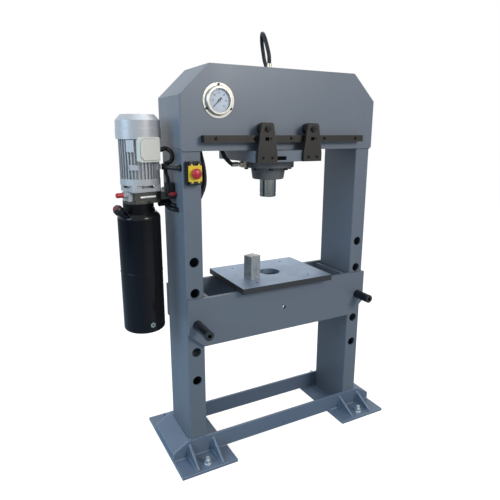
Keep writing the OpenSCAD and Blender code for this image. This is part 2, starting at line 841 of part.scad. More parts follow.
// Hanger screws, axle nuts and flange bolts.
module carriage_screws() {
    color(black) on_carriage() {
        hanger_places() {
            for (s = [-1, 1])
                cap_screw(s * hanger_screw_x, hanger_screw_z, -hanger_y - hanger_t, -hanger_y + 25,
                          screw_head_r, screw_head_h, rail_screw_r);
            translate([0, -hanger_y - hanger_t, roller_z]) rotate([90, 30, 0]) difference() {
                cylinder(r = axle_r * 1.62, h = 8, $fn = 6);
                translate([0, 0, -1]) cylinder(r = axle_r + thread_gap, h = 10);
            }
        }
        translate([0, 0, flange_z]) flange_bolt_places() {
            translate([0, 0, -10]) difference() {
                cylinder(r = 9, h = 10);
                translate([0, 0, -1]) cylinder(r = 5.5, h = 6, $fn = 6);
            }
            cylinder(r = flange_bolt_r, h = flange_t + 28);
        }
    }
}

// ---------------------------------------------------------------- cylinder

// The port that runs in from the flange's side to the bore.
module side_port() {
    rod_x(0, port_z, port_r, -flange_d / 2 - 1, -bore_d / 2 + 1);
}

// The barrel is closed at the top and open at its mouth.
module cylinder_body() {
    color(paint) on_carriage() difference() {
        rotate_extrude() polygon([
            [bore_d / 2, flange_z], [barrel_d / 2, flange_z], [barrel_d / 2, barrel_top_z - barrel_bevel],
            [barrel_d / 2 - barrel_bevel, barrel_top_z], [0, barrel_top_z], [0, barrel_top_z - barrel_cap],
            [bore_d / 2, barrel_top_z - barrel_cap]
        ]);
        translate([0, 0, barrel_top_z - barrel_cap - 1]) cylinder(r = port_r, h = barrel_cap + 2);
        side_port();
    }
}

// The mounting flange is a thick ring welded round the barrel's mouth.
module cylinder_flange() {
    color(paint) on_carriage() difference() {
        rotate_extrude() polygon([
            [barrel_d / 2, flange_z], [flange_d / 2 - flange_bevel, flange_z],
            [flange_d / 2, flange_z + flange_bevel], [flange_d / 2, carriage_z], [barrel_d / 2, carriage_z]
        ]);
        translate([0, 0, flange_z - 1]) flange_bolt_places() cylinder(r = flange_bolt_r + loose, h = flange_t + 2);
        side_port();
        translate([-flange_d / 2 - 1, -port_flat / 2, flange_z - 1]) cube([port_seat + 1, port_flat, flange_t + 2]);
    }
}

// The gland screws into the mouth of the barrel and guides the ram.
module gland() {
    neck_r = ram_d / 2 + 41;
    mouth_r = ram_d / 2 + 34;
    seal_r = ram_d / 2 + 8;
    color(paint) on_carriage() rotate_extrude() polygon([
        [ram_d / 2 + run, gland_z + 6], [seal_r, gland_z + 6], [seal_r, gland_z],
        [mouth_r - 3, gland_z], [mouth_r, gland_z + 3], [neck_r, flange_z - 4], [neck_r, flange_z],
        [bore_d / 2 - thread_gap, flange_z], [bore_d / 2 - thread_gap, port_z - port_r - 2],
        [bore_d / 2 - 4, port_z - port_r - 2], [bore_d / 2 - 4, flange_z + gland_spigot + 12],
        [ram_d / 2 + run, flange_z + gland_spigot + 12]
    ]);
}

// The wiper in the mouth of the gland.
module seals() {
    color(black) on_carriage()
        translate([0, 0, gland_z]) ring(ram_d / 2 + 8 - thread_gap, ram_d / 2 + run, 5.5);
}

// The ram and its piston turned in one piece, with a tool thread in its nose.
module ram() {
    groove = 1.5;
    color(bright) on_carriage() difference() {
        rotate_extrude() polygon([
            [0, ram_nose_z], [ram_d / 2 - 3, ram_nose_z], [ram_d / 2, ram_nose_z + 3],
            [ram_d / 2, ram_nose_z + 14], [ram_d / 2 - groove, ram_nose_z + 14],
            [ram_d / 2 - groove, ram_nose_z + 18], [ram_d / 2, ram_nose_z + 18],
            [ram_d / 2, piston_top_z - piston_h], [bore_d / 2 - run, piston_top_z - piston_h],
            [bore_d / 2 - run, piston_top_z], [0, piston_top_z]
        ]);
        translate([0, 0, ram_nose_z - 1]) cylinder(r = nose_thread_r, h = nose_thread_len + 1);
    }
}

// Steel fittings on the top port and on the flange's side port.
module port_fittings() {
    color(bright) on_carriage() {
        translate([0, 0, barrel_top_z]) {
            cylinder(r = 15, h = 10, $fn = 6);
            translate([0, 0, -barrel_cap + 4]) cylinder(r = port_r - thread_gap, h = barrel_cap - 4);
            translate([0, 0, 10]) cylinder(r = 9, h = top_fitting_z - barrel_top_z - 40);
            translate([0, 0, top_fitting_z - barrel_top_z - 30]) cylinder(r = 13, h = 12, $fn = 6);
            translate([0, 0, top_fitting_z - barrel_top_z - 18]) cylinder(r = sleeve_r, h = 18);
        }
        rod_x(0, port_z, port_r - thread_gap, -flange_d / 2 + 4, -bore_d / 2 - 15);
        translate([-flange_d / 2 + 4 - 20, -15, port_z - 15]) cube([20, 30, 30]);
        translate([-flange_d / 2 - 16, 0, port_z]) rotate([0, -90, 0]) cylinder(r = 12, h = 13, $fn = 6);
        rod_x(0, port_z, 6, -flange_d / 2 - 37, -flange_d / 2 - 29);
        rod_x(0, port_z, sleeve_r, -flange_d / 2 - 37 - sleeve_len, -flange_d / 2 - 37);
    }
}

// ---------------------------------------------------------------- gauge

gauge_flange_t = 3;
gauge_rim = 14;
gauge_depth = 42;
glass_t = 3;
dial_t = 1.5;
dial_at = 6;
needle_at = 10;
// Turns a profile drawn as (radius, distance out from the frame's middle plane) about the gauge's axis.
module about_gauge() {
    translate([-gauge_x, 0, gauge_z]) rotate([90, 0, 0]) rotate_extrude($fn = 64) children();
}

module gauge_case() {
    can_r = gauge_can_r;
    color(steel) difference() {
        about_gauge() polygon([
            [0, crown_y - gauge_depth], [can_r, crown_y - gauge_depth], [can_r, crown_y],
            [gauge_d / 2, crown_y], [gauge_d / 2, crown_y + gauge_flange_t],
            [can_r, crown_y + gauge_flange_t], [can_r, crown_y + gauge_rim - glass_t],
            [dial_d / 2, crown_y + gauge_rim - glass_t], [dial_d / 2, crown_y - gauge_depth + 3],
            [0, crown_y - gauge_depth + 3]
        ]);
        gauge_screw_places() rod_y(0, 0, gauge_screw_shank + loose, -crown_y - gauge_rim, -crown_y + 1);
    }
    color(brass) translate([-gauge_x, 0, gauge_z])
        rod_y(0, 0, 9, -crown_y + gauge_depth, -crown_y + gauge_depth + 26);
}

module gauge_bezel() {
    color(bright) about_gauge() polygon([
        [gauge_can_r, crown_y + gauge_flange_t], [gauge_can_r + 5, crown_y + gauge_flange_t],
        [gauge_can_r + 5, crown_y + gauge_rim - 2], [gauge_can_r + 2, crown_y + gauge_rim + 3],
        [dial_d / 2 - 1, crown_y + gauge_rim + 3], [dial_d / 2 - 1, crown_y + gauge_rim],
        [gauge_can_r, crown_y + gauge_rim]
    ]);
}

module gauge_glass() {
    color([0.9, 0.95, 1, 0.3]) about_gauge()
        translate([0, crown_y + gauge_rim - glass_t]) square([gauge_can_r - thread_gap, glass_t]);
}

// The dial is a disc on the case's wall, with the pointer's arbor in its middle.
module gauge_dial() {
    color(white) about_gauge() polygon([
        [0, crown_y + dial_at - 30], [5, crown_y + dial_at - 30], [5, crown_y + dial_at],
        [dial_d / 2 - thread_gap, crown_y + dial_at], [dial_d / 2 - thread_gap, crown_y + dial_at + dial_t],
        [2, crown_y + dial_at + dial_t], [2, crown_y + needle_at], [0, crown_y + needle_at]
    ]);
}

// The pointer at zero, low on the left.
module gauge_needle() {
    tip = dial_d / 2 - 10;
    color(black) translate([-gauge_x, -crown_y - 8, gauge_z]) rotate([90, 0, 0]) rotate(225) difference() {
        union() {
            cylinder(r = 5, h = 2.2);
            linear_extrude(1.2) polygon([[0, -2], [tip, -0.5], [tip, 0.5], [0, 2], [-14, 3], [-14, -3]]);
        }
        translate([0, 0, -1]) cylinder(r = 2 + run, h = 5);
    }
}

// ---------------------------------------------------------------- switch

module at_switch() { translate([-switch_x, 0, switch_z]) children(); }

// The black base, with the lid's hinge lug and pin at the top, and a hole for each button.
module switch_box() {
    color(black) at_switch() difference() {
        union() {
            extrude_y(-switch_y, -column_y) round_rect(switch_w, switch_h, 4);
            translate([-knuckle_x[0] + 1, -hinge_y - hinge_r - 0.6, hinge_up - 5])
                cube([2 * knuckle_x[0] - 2, hinge_y - switch_y + hinge_r + 1, 9]);
            rod_x(-hinge_y, hinge_up, hinge_r, -knuckle_x[1], knuckle_x[1]);
        }
        rod_y(0, -start_up, start_r + run, -switch_y - 1, -column_y - 3);
        rod_y(0, 0, stop_stem_r + loose, -switch_y - 1, -column_y - 12);
    }
}

module start_button() {
    color(green) at_switch() rod_y(0, -start_up, start_r, -switch_y - 4, -switch_y + 10);
}

// The yellow lid is a shallow tray with round tabs, hinged at its top edge over the base.
module switch_cover() {
    y0 = -switch_y - cover_gap - cover_deep;
    y1 = -switch_y - cover_gap;
    tab_r = 5;
    tab_x = (knuckle_x[0] + knuckle_x[1]) / 2;
    color(yellow) at_switch() difference() {
        union() {
            extrude_y(y0, y1) difference() {
                round_rect(cover_w, cover_h, 5);
                square([cover_w - 2 * lid_wall, cover_h - 2 * lid_wall], center = true);
            }
            extrude_y(y0, y0 + lid_wall) round_rect(cover_w, cover_h, 5);
            extrude_y(y0, y0 + lid_wall) for (sx = [-1, 1], sz = [-1, 1])
                translate([sx * tab_x, sz * (cover_h / 2 - 1)]) circle(tab_r);
            both_sides() {
                rod_x(-hinge_y, hinge_up, knuckle_r, knuckle_x[0], knuckle_x[1]);
                translate([knuckle_x[0], y0 + 1, hinge_up - knuckle_r])
                    cube([knuckle_x[1] - knuckle_x[0], -hinge_y - y0 - 1, 5]);
            }
        }
        rod_y(0, 0, stop_stem_r + loose, y0 - 1, y1 + 1);
        rod_x(-hinge_y, hinge_up, hinge_r + run, -knuckle_x[1] - 1, knuckle_x[1] + 1);
        translate([-knuckle_x[0], y0 - 1, cover_h / 2 - 7]) cube([2 * knuckle_x[0], cover_deep + 2, 20]);
    }
}

// The red mushroom: a stem through the lid and a domed head.
module stop_button() {
    head_y = switch_y + cover_gap + cover_deep + 7;
    color(red) translate([-switch_x, 0, switch_z]) rotate([90, 0, 0]) rotate_extrude() union() {
        translate([0, switch_y + loose]) square([stop_stem_r, head_y - switch_y]);
        polygon([[0, head_y], [stop_d / 2 - 2, head_y], [stop_d / 2, head_y + 2], [stop_d / 2, head_y + 7],
                 [stop_d / 2 - 2, head_y + 11], [stop_d / 2 - 7, head_y + 14], [0, head_y + 16]]);
    }
}

// ---------------------------------------------------------------- power pack

module at_tank() { translate([tank_x, pack_y, 0]) children(); }

module at_motor() { translate([motor_x, pack_y, 0]) rotate(motor_turn) children(); }

neck_dir = [-0.62, -0.40, 0.68];
neck_base = [-68, -45, tank_top_z - 12];
neck_len = 34;
neck_r = 15;
cap_h = 28;
cap_r = 18;
// Puts children on the filler's slanting axis, with +Z outwards.
module at_filler(out = 0) {
    d = neck_dir / norm(neck_dir);
    at_tank() translate(neck_base + out * d) rotate([0, acos(d.z), atan2(d.y, d.x)]) children();
}

// A drawn shell with a round shoulder, a foot fold and a slanting filler neck.
module tank() {
    shoulder = 26;
    foot = 14;
    color(black) difference() {
        union() {
            at_tank() rotate_extrude($fn = 72) difference() {
                tank_profile(tank_r, tank_bottom_z, tank_top_z, shoulder, foot);
                tank_profile(tank_r - tank_wall, tank_bottom_z + tank_wall, tank_top_z - tank_wall,
                             shoulder - tank_wall, foot - tank_wall);
                square([tank_mouth_r, tank_top_z + 1]);
            }
            at_tank() translate([0, 0, tank_bottom_z]) cylinder(r = tank_mouth_r + 2, h = tank_wall);
            at_filler(-12) cylinder(r = neck_r, h = neck_len + 12);
        }
        at_filler(-40) cylinder(r = neck_r - 3, h = neck_len + 42);
        at_tank() rotate(-90 + drain_turn) rod_x(0, drain_z, drain_r + thread_gap, tank_r - 8, tank_r + 1);
    }
}

module tank_profile(r, z0, z1, top_round, foot_round) {
    translate([0, z0 + foot_round]) square([r, z1 - z0 - top_round - foot_round]);
    translate([0, z0]) square([r - foot_round, z1 - z0]);
    intersection() {
        translate([r - foot_round, z0 + foot_round]) circle(foot_round);
        translate([0, z0]) square([r, foot_round]);
    }
    intersection() {
        translate([r - top_round, z1 - top_round]) circle(top_round);
        translate([0, z1 - top_round]) square([r, top_round]);
    }
    translate([0, z1 - top_round]) square([r - top_round, top_round]);
}

drain_z = tank_bottom_z + 41;
drain_turn = 6;
drain_r = 8;
module drain_plug() {
    color(bright) at_tank() rotate(-90 + drain_turn) {
        rod_x(0, drain_z, drain_r, tank_r - 7, tank_r + 2);
        translate([tank_r + 1, 0, drain_z]) rotate([0, 90, 0]) cylinder(r = 12, h = 7, $fn = 6);
    }
}

// The filler cap and breather: a ribbed black cap that turns on the neck.
module filler_cap() {
    color(black) at_filler(neck_len + part_gap) {
        cylinder(r = cap_r, h = cap_h - 8);
        translate([0, 0, cap_h - 8]) cylinder(r1 = cap_r, r2 = cap_r - 4, h = 8);
        for (k = [0:11]) rotate(30 * k) translate([cap_r - 2, -2, 0]) cube([3.5, 4, cap_h - 10]);
        translate([0, 0, -12]) cylinder(r = neck_r - 3 - run, h = 13);
    }
}

// The round spigot in the tank's mouth, its clamp ring, and the square block above it.
module manifold() {
    round_top_z = tank_top_z + collar_h + spigot_h;
    block_z = tank_top_z + collar_h + block_up;
    color(black) difference() {
        union() {
            at_tank() translate([0, 0, tank_top_z - manifold_dip])
                cylinder(r = tank_mouth_r - loose, h = manifold_dip + 1);
            at_tank() translate([0, 0, tank_top_z]) cylinder(r = tank_mouth_r + 6, h = collar_h);
            at_tank() translate([0, 0, tank_top_z]) cylinder(r = tank_mouth_r + 2, h = round_top_z - tank_top_z);
            at_motor() translate([-manifold_block / 2, -manifold_block / 2, block_z])
                cube([manifold_block, manifold_block, manifold_top_z - block_z]);
        }
        block_rod();
        at_motor() translate([0, 0, tank_top_z - manifold_dip - 1])
            cylinder(r = shaft_hole_r, h = manifold_top_z - tank_top_z + manifold_dip + 2);
    }
    color(bright) {
        block_rod();
        for (i = [0, 1]) at_motor() {
            translate([manifold_block / 2, hose_port_y[i], hose_port_z[i]])
                rotate([0, 90, 0]) cylinder(r = 10.5, h = 8, $fn = 6);
            rod_x(hose_port_y[i], hose_port_z[i], sleeve_r, manifold_block / 2 + 8, port_out);
        }
    }
}

// A bright cross plug that lies half sunk in the block's front face.
module block_rod() {
    at_motor() rod_x(-manifold_block / 2, manifold_top_z - 21, 5, -31, 35);
}

// The relief valve on the left: a cast body with a round boss, and a hexagon that takes the cap.
module relief_valve() {
    color(silver) at_motor() {
        translate([-manifold_block / 2 - relief_t, -34, manifold_top_z - 36]) cube([relief_t, 60, 35]);
        rod_x(relief_y, manifold_top_z - relief_down, 15,
              -manifold_block / 2 - relief_t - 5, -manifold_block / 2 - relief_t);
        translate([-manifold_block / 2 - relief_t - 5, relief_y, manifold_top_z - relief_down]) rotate([0, -90, 0])
            cylinder(r = 12, h = relief_hex, $fn = 6);
    }
}

// Red caps: one on the relief valve and one on the solenoid's hand override.
module valve_caps() {
    color(red) {
        at_motor()
            translate([-manifold_block / 2 - relief_t - 5 - relief_hex, relief_y, manifold_top_z - relief_down])
            rotate([0, -90, 0]) {
                cylinder(r = 10, h = 25);
                translate([0, 0, 25]) cylinder(r1 = 10, r2 = 8, h = 3);
            }
        rod_x(override_y, override_z, 8.5, override_x, override_x + 20);
        rod_x(override_y, override_z, 4, override_x + 20, side_x - 1.5);
    }
}

// The solenoid valve on the right: its body meets the block's side and corner, a square coil stands
// on it, and a boss on its front carries the hand override.
module solenoid_valve() {
    coil = 35;
    corner = on_block(manifold_block / 2, -manifold_block / 2, 0);
    rear = on_block(manifold_block / 2, manifold_block / 2, 0);
    back_y = valve_y + 54;
    back_x = corner.x + (rear.x - corner.x) * (back_y - corner.y) / (rear.y - corner.y);
    front_y = valve_y - valve_w / 2 - 2;
    color(black) {
        translate([0, 0, valve_z]) linear_extrude(valve_h) polygon([
            [corner.x, corner.y], [corner.x, front_y], [valve_x + valve_w / 2, front_y],
            [valve_x + valve_w / 2, back_y], [back_x, back_y]
        ]);
        translate([valve_x + 3, valve_y, valve_z + valve_h]) linear_extrude(coil_h) round_rect(coil, coil, 5);
        rod_x(override_y, override_z, 7, override_x - 10, override_x);
        translate([override_x - 10, override_y - 6, override_z - 6]) cube([9, front_y - override_y + 6.5, 12]);
    }
}

// The plate that carries the power pack on the column's side.
module pump_bracket() {
    z0 = tank_top_z + collar_h + 4;
    plate = 10;
    plate_h = 68;
    plate_y = 56;
    plate_d = 62;
    arm_d = 18;
    arm_near = on_block(manifold_block / 2, 22, 0);
    arm_far = on_block(manifold_block / 2, 22 + arm_d, 0);
    color(black) {
        translate([side_x - plate, plate_y, z0]) cube([plate, plate_d, plate_h]);
        translate([0, 0, z0 + 22]) linear_extrude(plate_h - 24) polygon([
            [arm_near.x, arm_near.y], [side_x - plate + 1, arm_near.y],
            [side_x - plate + 1, arm_far.y], [arm_far.x, arm_far.y]
        ]);
    }
}

// The square flange between the manifold and the motor, with raised corners under the motor's shield.
module bell_housing() {
    side = 124;
    corner = 12;
    base_t = 14;
    neck_r = 50;
    color(silver) at_motor() translate([0, 0, manifold_top_z]) difference() {
        union() {
            linear_extrude(base_t) round_rect(side, side, corner);
            linear_extrude(bell_h) difference() {
                round_rect(side, side, corner);
                circle(side / 2 + 6);
            }
            cylinder(r = neck_r, h = bell_h);
        }
        translate([0, 0, -1]) cylinder(r = shaft_hole_r, h = bell_h + 2);
    }
}

// The motor: a finned barrel with an end shield and four lugs.
module motor_body() {
    core_r = motor_d / 2 - fin_depth;
    fin_t = 3;
    low_lug_z = shield_top_z + 35;
    high_lug_z = shield_top_z + 104;
    // Lugs cast between the fins: [direction, height of the lower edge, width, height]
    lugs = [
        [-133, low_lug_z, 34, 20], [-52, low_lug_z, 34, 20], [-141, high_lug_z, 31, 46], [-39, high_lug_z, 31, 46]
    ];
    color(silver) at_motor() difference() {
        union() {
            translate([0, 0, bell_top_z]) cylinder(r = motor_d / 2, h = shield_h);
            translate([0, 0, cowl_bottom_z]) cylinder(r = cowl_d / 2 - cowl_wall, h = 10);
            translate([0, 0, shield_top_z]) linear_extrude(fin_len) {
                circle(core_r);
                for (k = [0:fin_count - 1]) rotate(360 * k / fin_count)
                    translate([core_r - 3, -fin_t / 2]) square([fin_depth + 3 - 1, fin_t]);
            }
            for (l = lugs)
                rotate(l[0]) translate([core_r - 4, -l[2] / 2, l[1]]) cube([fin_depth + 7, l[2], l[3]]);
        }
        translate([0, 0, bell_top_z - 1]) cylinder(r = shaft_d / 2 + run, h = cowl_top_z - bell_top_z);
        translate([-box_w / 2 - 1, -box_front, box_z - 1]) cube([box_w + 2, box_front - box_back, box_h + 2]);
    }
}

// The pressed fan cowl: a thin shell with a bevelled top and a ring grille.
module fan_cowl() {
    r = cowl_d / 2;
    t = cowl_wall;
    color(silver) at_motor() difference() {
        rotate_extrude($fn = 72) polygon([
            [r - t, cowl_bottom_z], [r, cowl_bottom_z], [r, cowl_step_z], [r - 1.5, cowl_step_z + 1.5],
            [r - 1.5, cowl_bevel_z], [r - cowl_bevel, cowl_top_z], [0, cowl_top_z], [0, cowl_top_z - t],
            [r - cowl_bevel - t / 2, cowl_top_z - t], [r - 1.5 - t, cowl_bevel_z - t / 2], [r - 1.5 - t, cowl_step_z],
            [r - t, cowl_step_z - 1.5]
        ]);
        for (k = [0:17]) rotate(20 * k) translate([20, -2.5, cowl_top_z - 10]) cube([36, 5, 20]);
    }
}

// The motor's shaft, which drives the pump at its lower end and carries the fan at its top.
module motor_rotor() {
    fan_z = cowl_bottom_z + 18;
    fan_r = 70;
    color(steel) at_motor() {
        translate([0, 0, shaft_end_z]) cylinder(r = shaft_d / 2, h = fan_z + 36 - shaft_end_z);
        translate([0, 0, fan_z]) cylinder(r = 20, h = 34);
        translate([0, 0, fan_z]) cylinder(r = fan_r, h = 2.5);
        for (k = [0:blade_count - 1]) rotate(360 * k / blade_count)
            translate([18, -1.5, fan_z]) cube([fan_r - 20, 3, 30]);
    }
}

// The terminal box: a cast box with a raised eight-sided lid, on the motor's front.
module terminal_box() {
    lid = 80;
    lid_t = 5;
    cut = 13;
    color(cream) at_motor() {
        difference() {
            extrude_y(-box_front, -box_back) translate([0, box_z + box_h / 2]) round_rect(box_w, box_h, 8);
            translate([0, 0, cowl_bottom_z - 1]) cylinder(r = cowl_d / 2 + loose, h = box_h);
        }
        extrude_y(-box_front - lid_t, -box_front) translate([0, box_z + box_h / 2]) polygon([
            [-lid / 2 + cut, -lid / 2], [lid / 2 - cut, -lid / 2], [lid / 2, -lid / 2 + cut], [lid / 2, lid / 2 - cut],
            [lid / 2 - cut, lid / 2], [-lid / 2 + cut, lid / 2], [-lid / 2, lid / 2 - cut], [-lid / 2, -lid / 2 + cut]
        ]);
    }
}

// The gear pump hangs under the manifold, with its suction pipe and strainer.
module gear_pump() {
    pump_w = 56;
    pump_d = 50;
    pump_corner = 8;
    pipe_r = 9;
    strainer_z = tank_bottom_z + 45;
    strainer_r = 27;
    strainer_h = 46;
    color(steel) at_motor() difference() {
        union() {
            translate([0, 0, pump_z]) linear_extrude(pump_h) round_rect(pump_w, pump_d, pump_corner);
            translate([0, 0, strainer_z]) cylinder(r = pipe_r, h = pump_z - strainer_z + 1);
            translate([0, 0, strainer_z]) cylinder(r = strainer_r, h = strainer_h);
        }
        translate([0, 0, shaft_end_z - 2]) cylinder(r = shaft_d / 2 + run, h = 60);
    }
}

// ---------------------------------------------------------------- hoses and conduits

// Cable glands on the terminal box and on the column, and the block where the conduits meet.
module cable_glands() {
    color(black) {
        at_motor() translate([box_w / 2, box_gland_y, box_gland_z]) rotate([0, 90, 0]) {
            cylinder(r = 12.5, h = 6, $fn = 6);
            cylinder(r = 10, h = gland_len);
        }
        translate(junction) translate([-13, -11, -12]) cube([24, 24, 24]);
        translate([side_x - 6, conduit_y, conduit_z]) rotate([0, 90, 0]) cylinder(r = 14, h = 6, $fn = 6);
        rod_x(conduit_y, conduit_z, conduit_hole_r - loose,
              -frame_w / 2 - gland_len, -frame_w / 2 + column_wall + 2);
    }
}

// Points between control points on a smooth curve through them.
function between(a, b, c, d, t) =
    0.5 * ((2 * b) + (c - a) * t + (2 * a - 5 * b + 4 * c - d) * t * t + (3 * b - a - 3 * c + d) * t * t * t);
function smooth(p, n) = [
    for (i = [0:len(p) - 2], k = [0:n - 1])
        between(p[max(i - 1, 0)], p[i], p[i + 1], p[min(i + 2, len(p) - 1)], k / n),
    p[len(p) - 1]
];

module top_hose() {
    color(black) hose(concat(through_column(0), smooth(top_route, 2)), hose_d, motor_way, [0, 0, -1]);
}

module lower_hose() {
    color(black) hose(concat(through_column(1), smooth(lower_route, 2)), hose_d, motor_way, [1, 0, 0]);
}

module motor_conduit() {
    start = on_block(box_w / 2 + gland_len, box_gland_y, box_gland_z);
    path = [
        start, start + [16, 2, 4], junction + [14, -24, 62], junction + [22, -24, 42],
        junction + [16, -20, 22], junction + [2, 0, 12]
    ];
    color(black) hose(path, conduit_d, motor_way, [0, 0, -1]);
}

module switch_conduit() {
    path = [
        junction + [-2, -11, -1], junction + [0, -34, -1], junction + [6, -62, -1],
        [-frame_w / 2 - 22, conduit_y + 8, conduit_z], [-frame_w / 2 - gland_len, conduit_y, conduit_z]
    ];
    color(black) hose(path, conduit_d, [0, -1, 0], [1, 0, 0]);
}

module coil_lead() {
    coil_top = [valve_x - 2, valve_y, valve_z + valve_h + coil_h];
    path = [junction + [0, 0, -12], junction + [1, 0, -28], coil_top + [0, 0, 16], coil_top];
    color(black) hose(path, conduit_d - 3, [0, 0, -1], [0, 0, -1]);
}

left_column();
right_column();
crown_plates();
crown_wrap();
foot_plates();
base_bars();
foot_stiffeners();
anchor_bolts();
bed_front_plate();
bed_rear_plate();
bed_cross_plates();
left_bed_pin();
right_bed_pin();
press_plate();
steel_block();
rails();
frame_screws();
carriage_plate();
hanger_brackets();
front_left_roller();
front_right_roller();
rear_left_roller();
rear_right_roller();
roller_axles();
carriage_screws();
cylinder_body();
cylinder_flange();
gland();
seals();
ram();
port_fittings();
gauge_case();
gauge_bezel();
gauge_glass();
gauge_dial();
gauge_needle();
switch_box();
switch_cover();
stop_button();
start_button();
pump_bracket();
tank();
filler_cap();
drain_plug();
manifold();
relief_valve();
valve_caps();
solenoid_valve();
bell_housing();
motor_body();
fan_cowl();
motor_rotor();
terminal_box();
gear_pump();
cable_glands();
top_hose();
lower_hose();
motor_conduit();
switch_conduit();
coil_lead();
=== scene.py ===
# %% [markdown]
# # A hydraulic workshop press
# The press is a welded H-shaped frame. A cylinder hangs on rollers under its crown, a bed sits on
# two pins between the columns, and a motor with a pump stands on an oil tank at the left side.
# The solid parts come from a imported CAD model, so this script gives them their finish, rounds
# their edges, and adds the small things that a CAD model leaves out.

# %% Load the model
import math

import bmesh
import bpy
from mathutils import Matrix, Vector
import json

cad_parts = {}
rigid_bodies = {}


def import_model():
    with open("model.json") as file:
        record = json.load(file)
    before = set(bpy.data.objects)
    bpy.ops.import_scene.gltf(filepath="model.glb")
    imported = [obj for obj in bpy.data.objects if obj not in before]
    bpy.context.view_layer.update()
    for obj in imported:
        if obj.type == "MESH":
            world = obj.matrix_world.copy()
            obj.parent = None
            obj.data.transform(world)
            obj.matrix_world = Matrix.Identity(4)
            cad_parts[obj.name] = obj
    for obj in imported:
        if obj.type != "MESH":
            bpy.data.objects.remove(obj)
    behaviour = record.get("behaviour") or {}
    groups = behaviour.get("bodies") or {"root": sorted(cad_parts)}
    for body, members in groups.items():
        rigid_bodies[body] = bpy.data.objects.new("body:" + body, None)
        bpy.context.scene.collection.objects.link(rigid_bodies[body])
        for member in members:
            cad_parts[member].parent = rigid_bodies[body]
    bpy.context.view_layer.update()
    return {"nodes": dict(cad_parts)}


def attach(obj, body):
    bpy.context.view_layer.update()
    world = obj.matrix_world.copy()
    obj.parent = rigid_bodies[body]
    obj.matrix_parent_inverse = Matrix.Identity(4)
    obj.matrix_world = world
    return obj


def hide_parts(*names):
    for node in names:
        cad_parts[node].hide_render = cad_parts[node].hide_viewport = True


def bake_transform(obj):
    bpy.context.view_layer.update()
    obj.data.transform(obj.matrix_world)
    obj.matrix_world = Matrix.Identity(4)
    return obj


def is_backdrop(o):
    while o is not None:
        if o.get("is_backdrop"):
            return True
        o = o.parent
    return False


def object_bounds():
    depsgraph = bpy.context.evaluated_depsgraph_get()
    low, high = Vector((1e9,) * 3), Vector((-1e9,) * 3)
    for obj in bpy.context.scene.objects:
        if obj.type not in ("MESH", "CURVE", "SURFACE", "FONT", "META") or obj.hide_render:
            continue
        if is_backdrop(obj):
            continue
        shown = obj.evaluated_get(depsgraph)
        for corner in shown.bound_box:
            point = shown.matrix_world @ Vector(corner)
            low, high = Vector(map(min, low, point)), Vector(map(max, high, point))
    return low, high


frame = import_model()
nodes = frame["nodes"]

# %% [markdown]
# ## The camera
# The press is seen from its left front corner, a little below eye height. A wide lens of 34 mm is
# close to the press, so the near column looks clearly bigger than the far one. A Track To
# constraint could aim the camera, but it keeps the horizon level. Three turns one after the other,
# the roll, the tilt and the turn to the side, also allow the slight roll of a camera held by hand.

# %% Place the camera
camera = bpy.data.objects.new("camera", bpy.data.cameras.new("camera"))
bpy.context.scene.collection.objects.link(camera)
camera.data.sensor_width = 36
camera.data.lens = 33.786
camera.location = (-1.1022, -1.8600, 1.4276)
yaw, pitch, roll = 0.49191, -0.24642, 0.00282
camera.rotation_mode = "QUATERNION"
camera.rotation_quaternion = (
    Matrix.Rotation(-yaw, 4, "Z")
    @ Matrix.Rotation(math.pi / 2 + pitch, 4, "X")
    @ Matrix.Rotation(roll, 4, "Z")
).to_quaternion()
bpy.context.scene.camera = camera
print("the camera stands", round(camera.location.z, 2), "m high")

# %% [markdown]
# ## Hoses and conduits
# A hydraulic hose is a thick rubber tube of fixed length. It leaves its fitting straight, and then
# it takes wide, even curves. A few listed points give its way, and a smooth curve joins them. A
# Catmull-Rom curve suits this, because it passes through every point that it is given.

# %% Smooth curves
def smooth(points, steps):
    """Points on a smooth curve through the given ones."""
    out = []
    for i in range(len(points) - 1):
        a, b = points[max(i - 1, 0)], points[i]
        c, d = points[i + 1], points[min(i + 2, len(points) - 1)]
        for k in range(steps):
            t = k / steps
            out.append(
                0.5 * ((2 * b) + (c - a) * t + (2 * a - 5 * b + 4 * c - d) * t * t
                       + (3 * b - a - 3 * c + d) * t ** 3)
            )
    return out + [points[-1]]


def route_length(points):
    return sum((b - a).length for a, b in zip(points, points[1:]))


# %% [markdown]
# A bmesh is Blender's editable mesh, and it needs no mouse and no edit mode. Each small piece is
# built in one, and then becomes an object. It is shaded smooth, and its edges stay sharp where two
# faces meet at a clear angle, so a short cylinder gets a round side and crisp ends.

# %% From a bmesh to a piece
def link(obj):
    bpy.context.scene.collection.objects.link(obj)
    return obj


def mesh_piece(name, bm, smooth_angle=35):
    """Turns a bmesh into an object, smooth except over edges sharper than the angle."""
    bmesh.ops.recalc_face_normals(bm, faces=bm.faces)
    mesh = bpy.data.meshes.new(name)
    bm.to_mesh(mesh)
    bm.free()
    mesh.shade_smooth()
    mesh.set_sharp_from_angle(angle=math.radians(smooth_angle))
    return link(bpy.data.objects.new(name, mesh))


# %% [markdown]
# A curve object with a round bevel could draw a hose. A tube that is built ring by ring does more:
# its radius can rise and fall along the way, which the ribbed conduits and the weld beads need.
# Each ring takes its sideways direction from the one before, so the tube never twists.

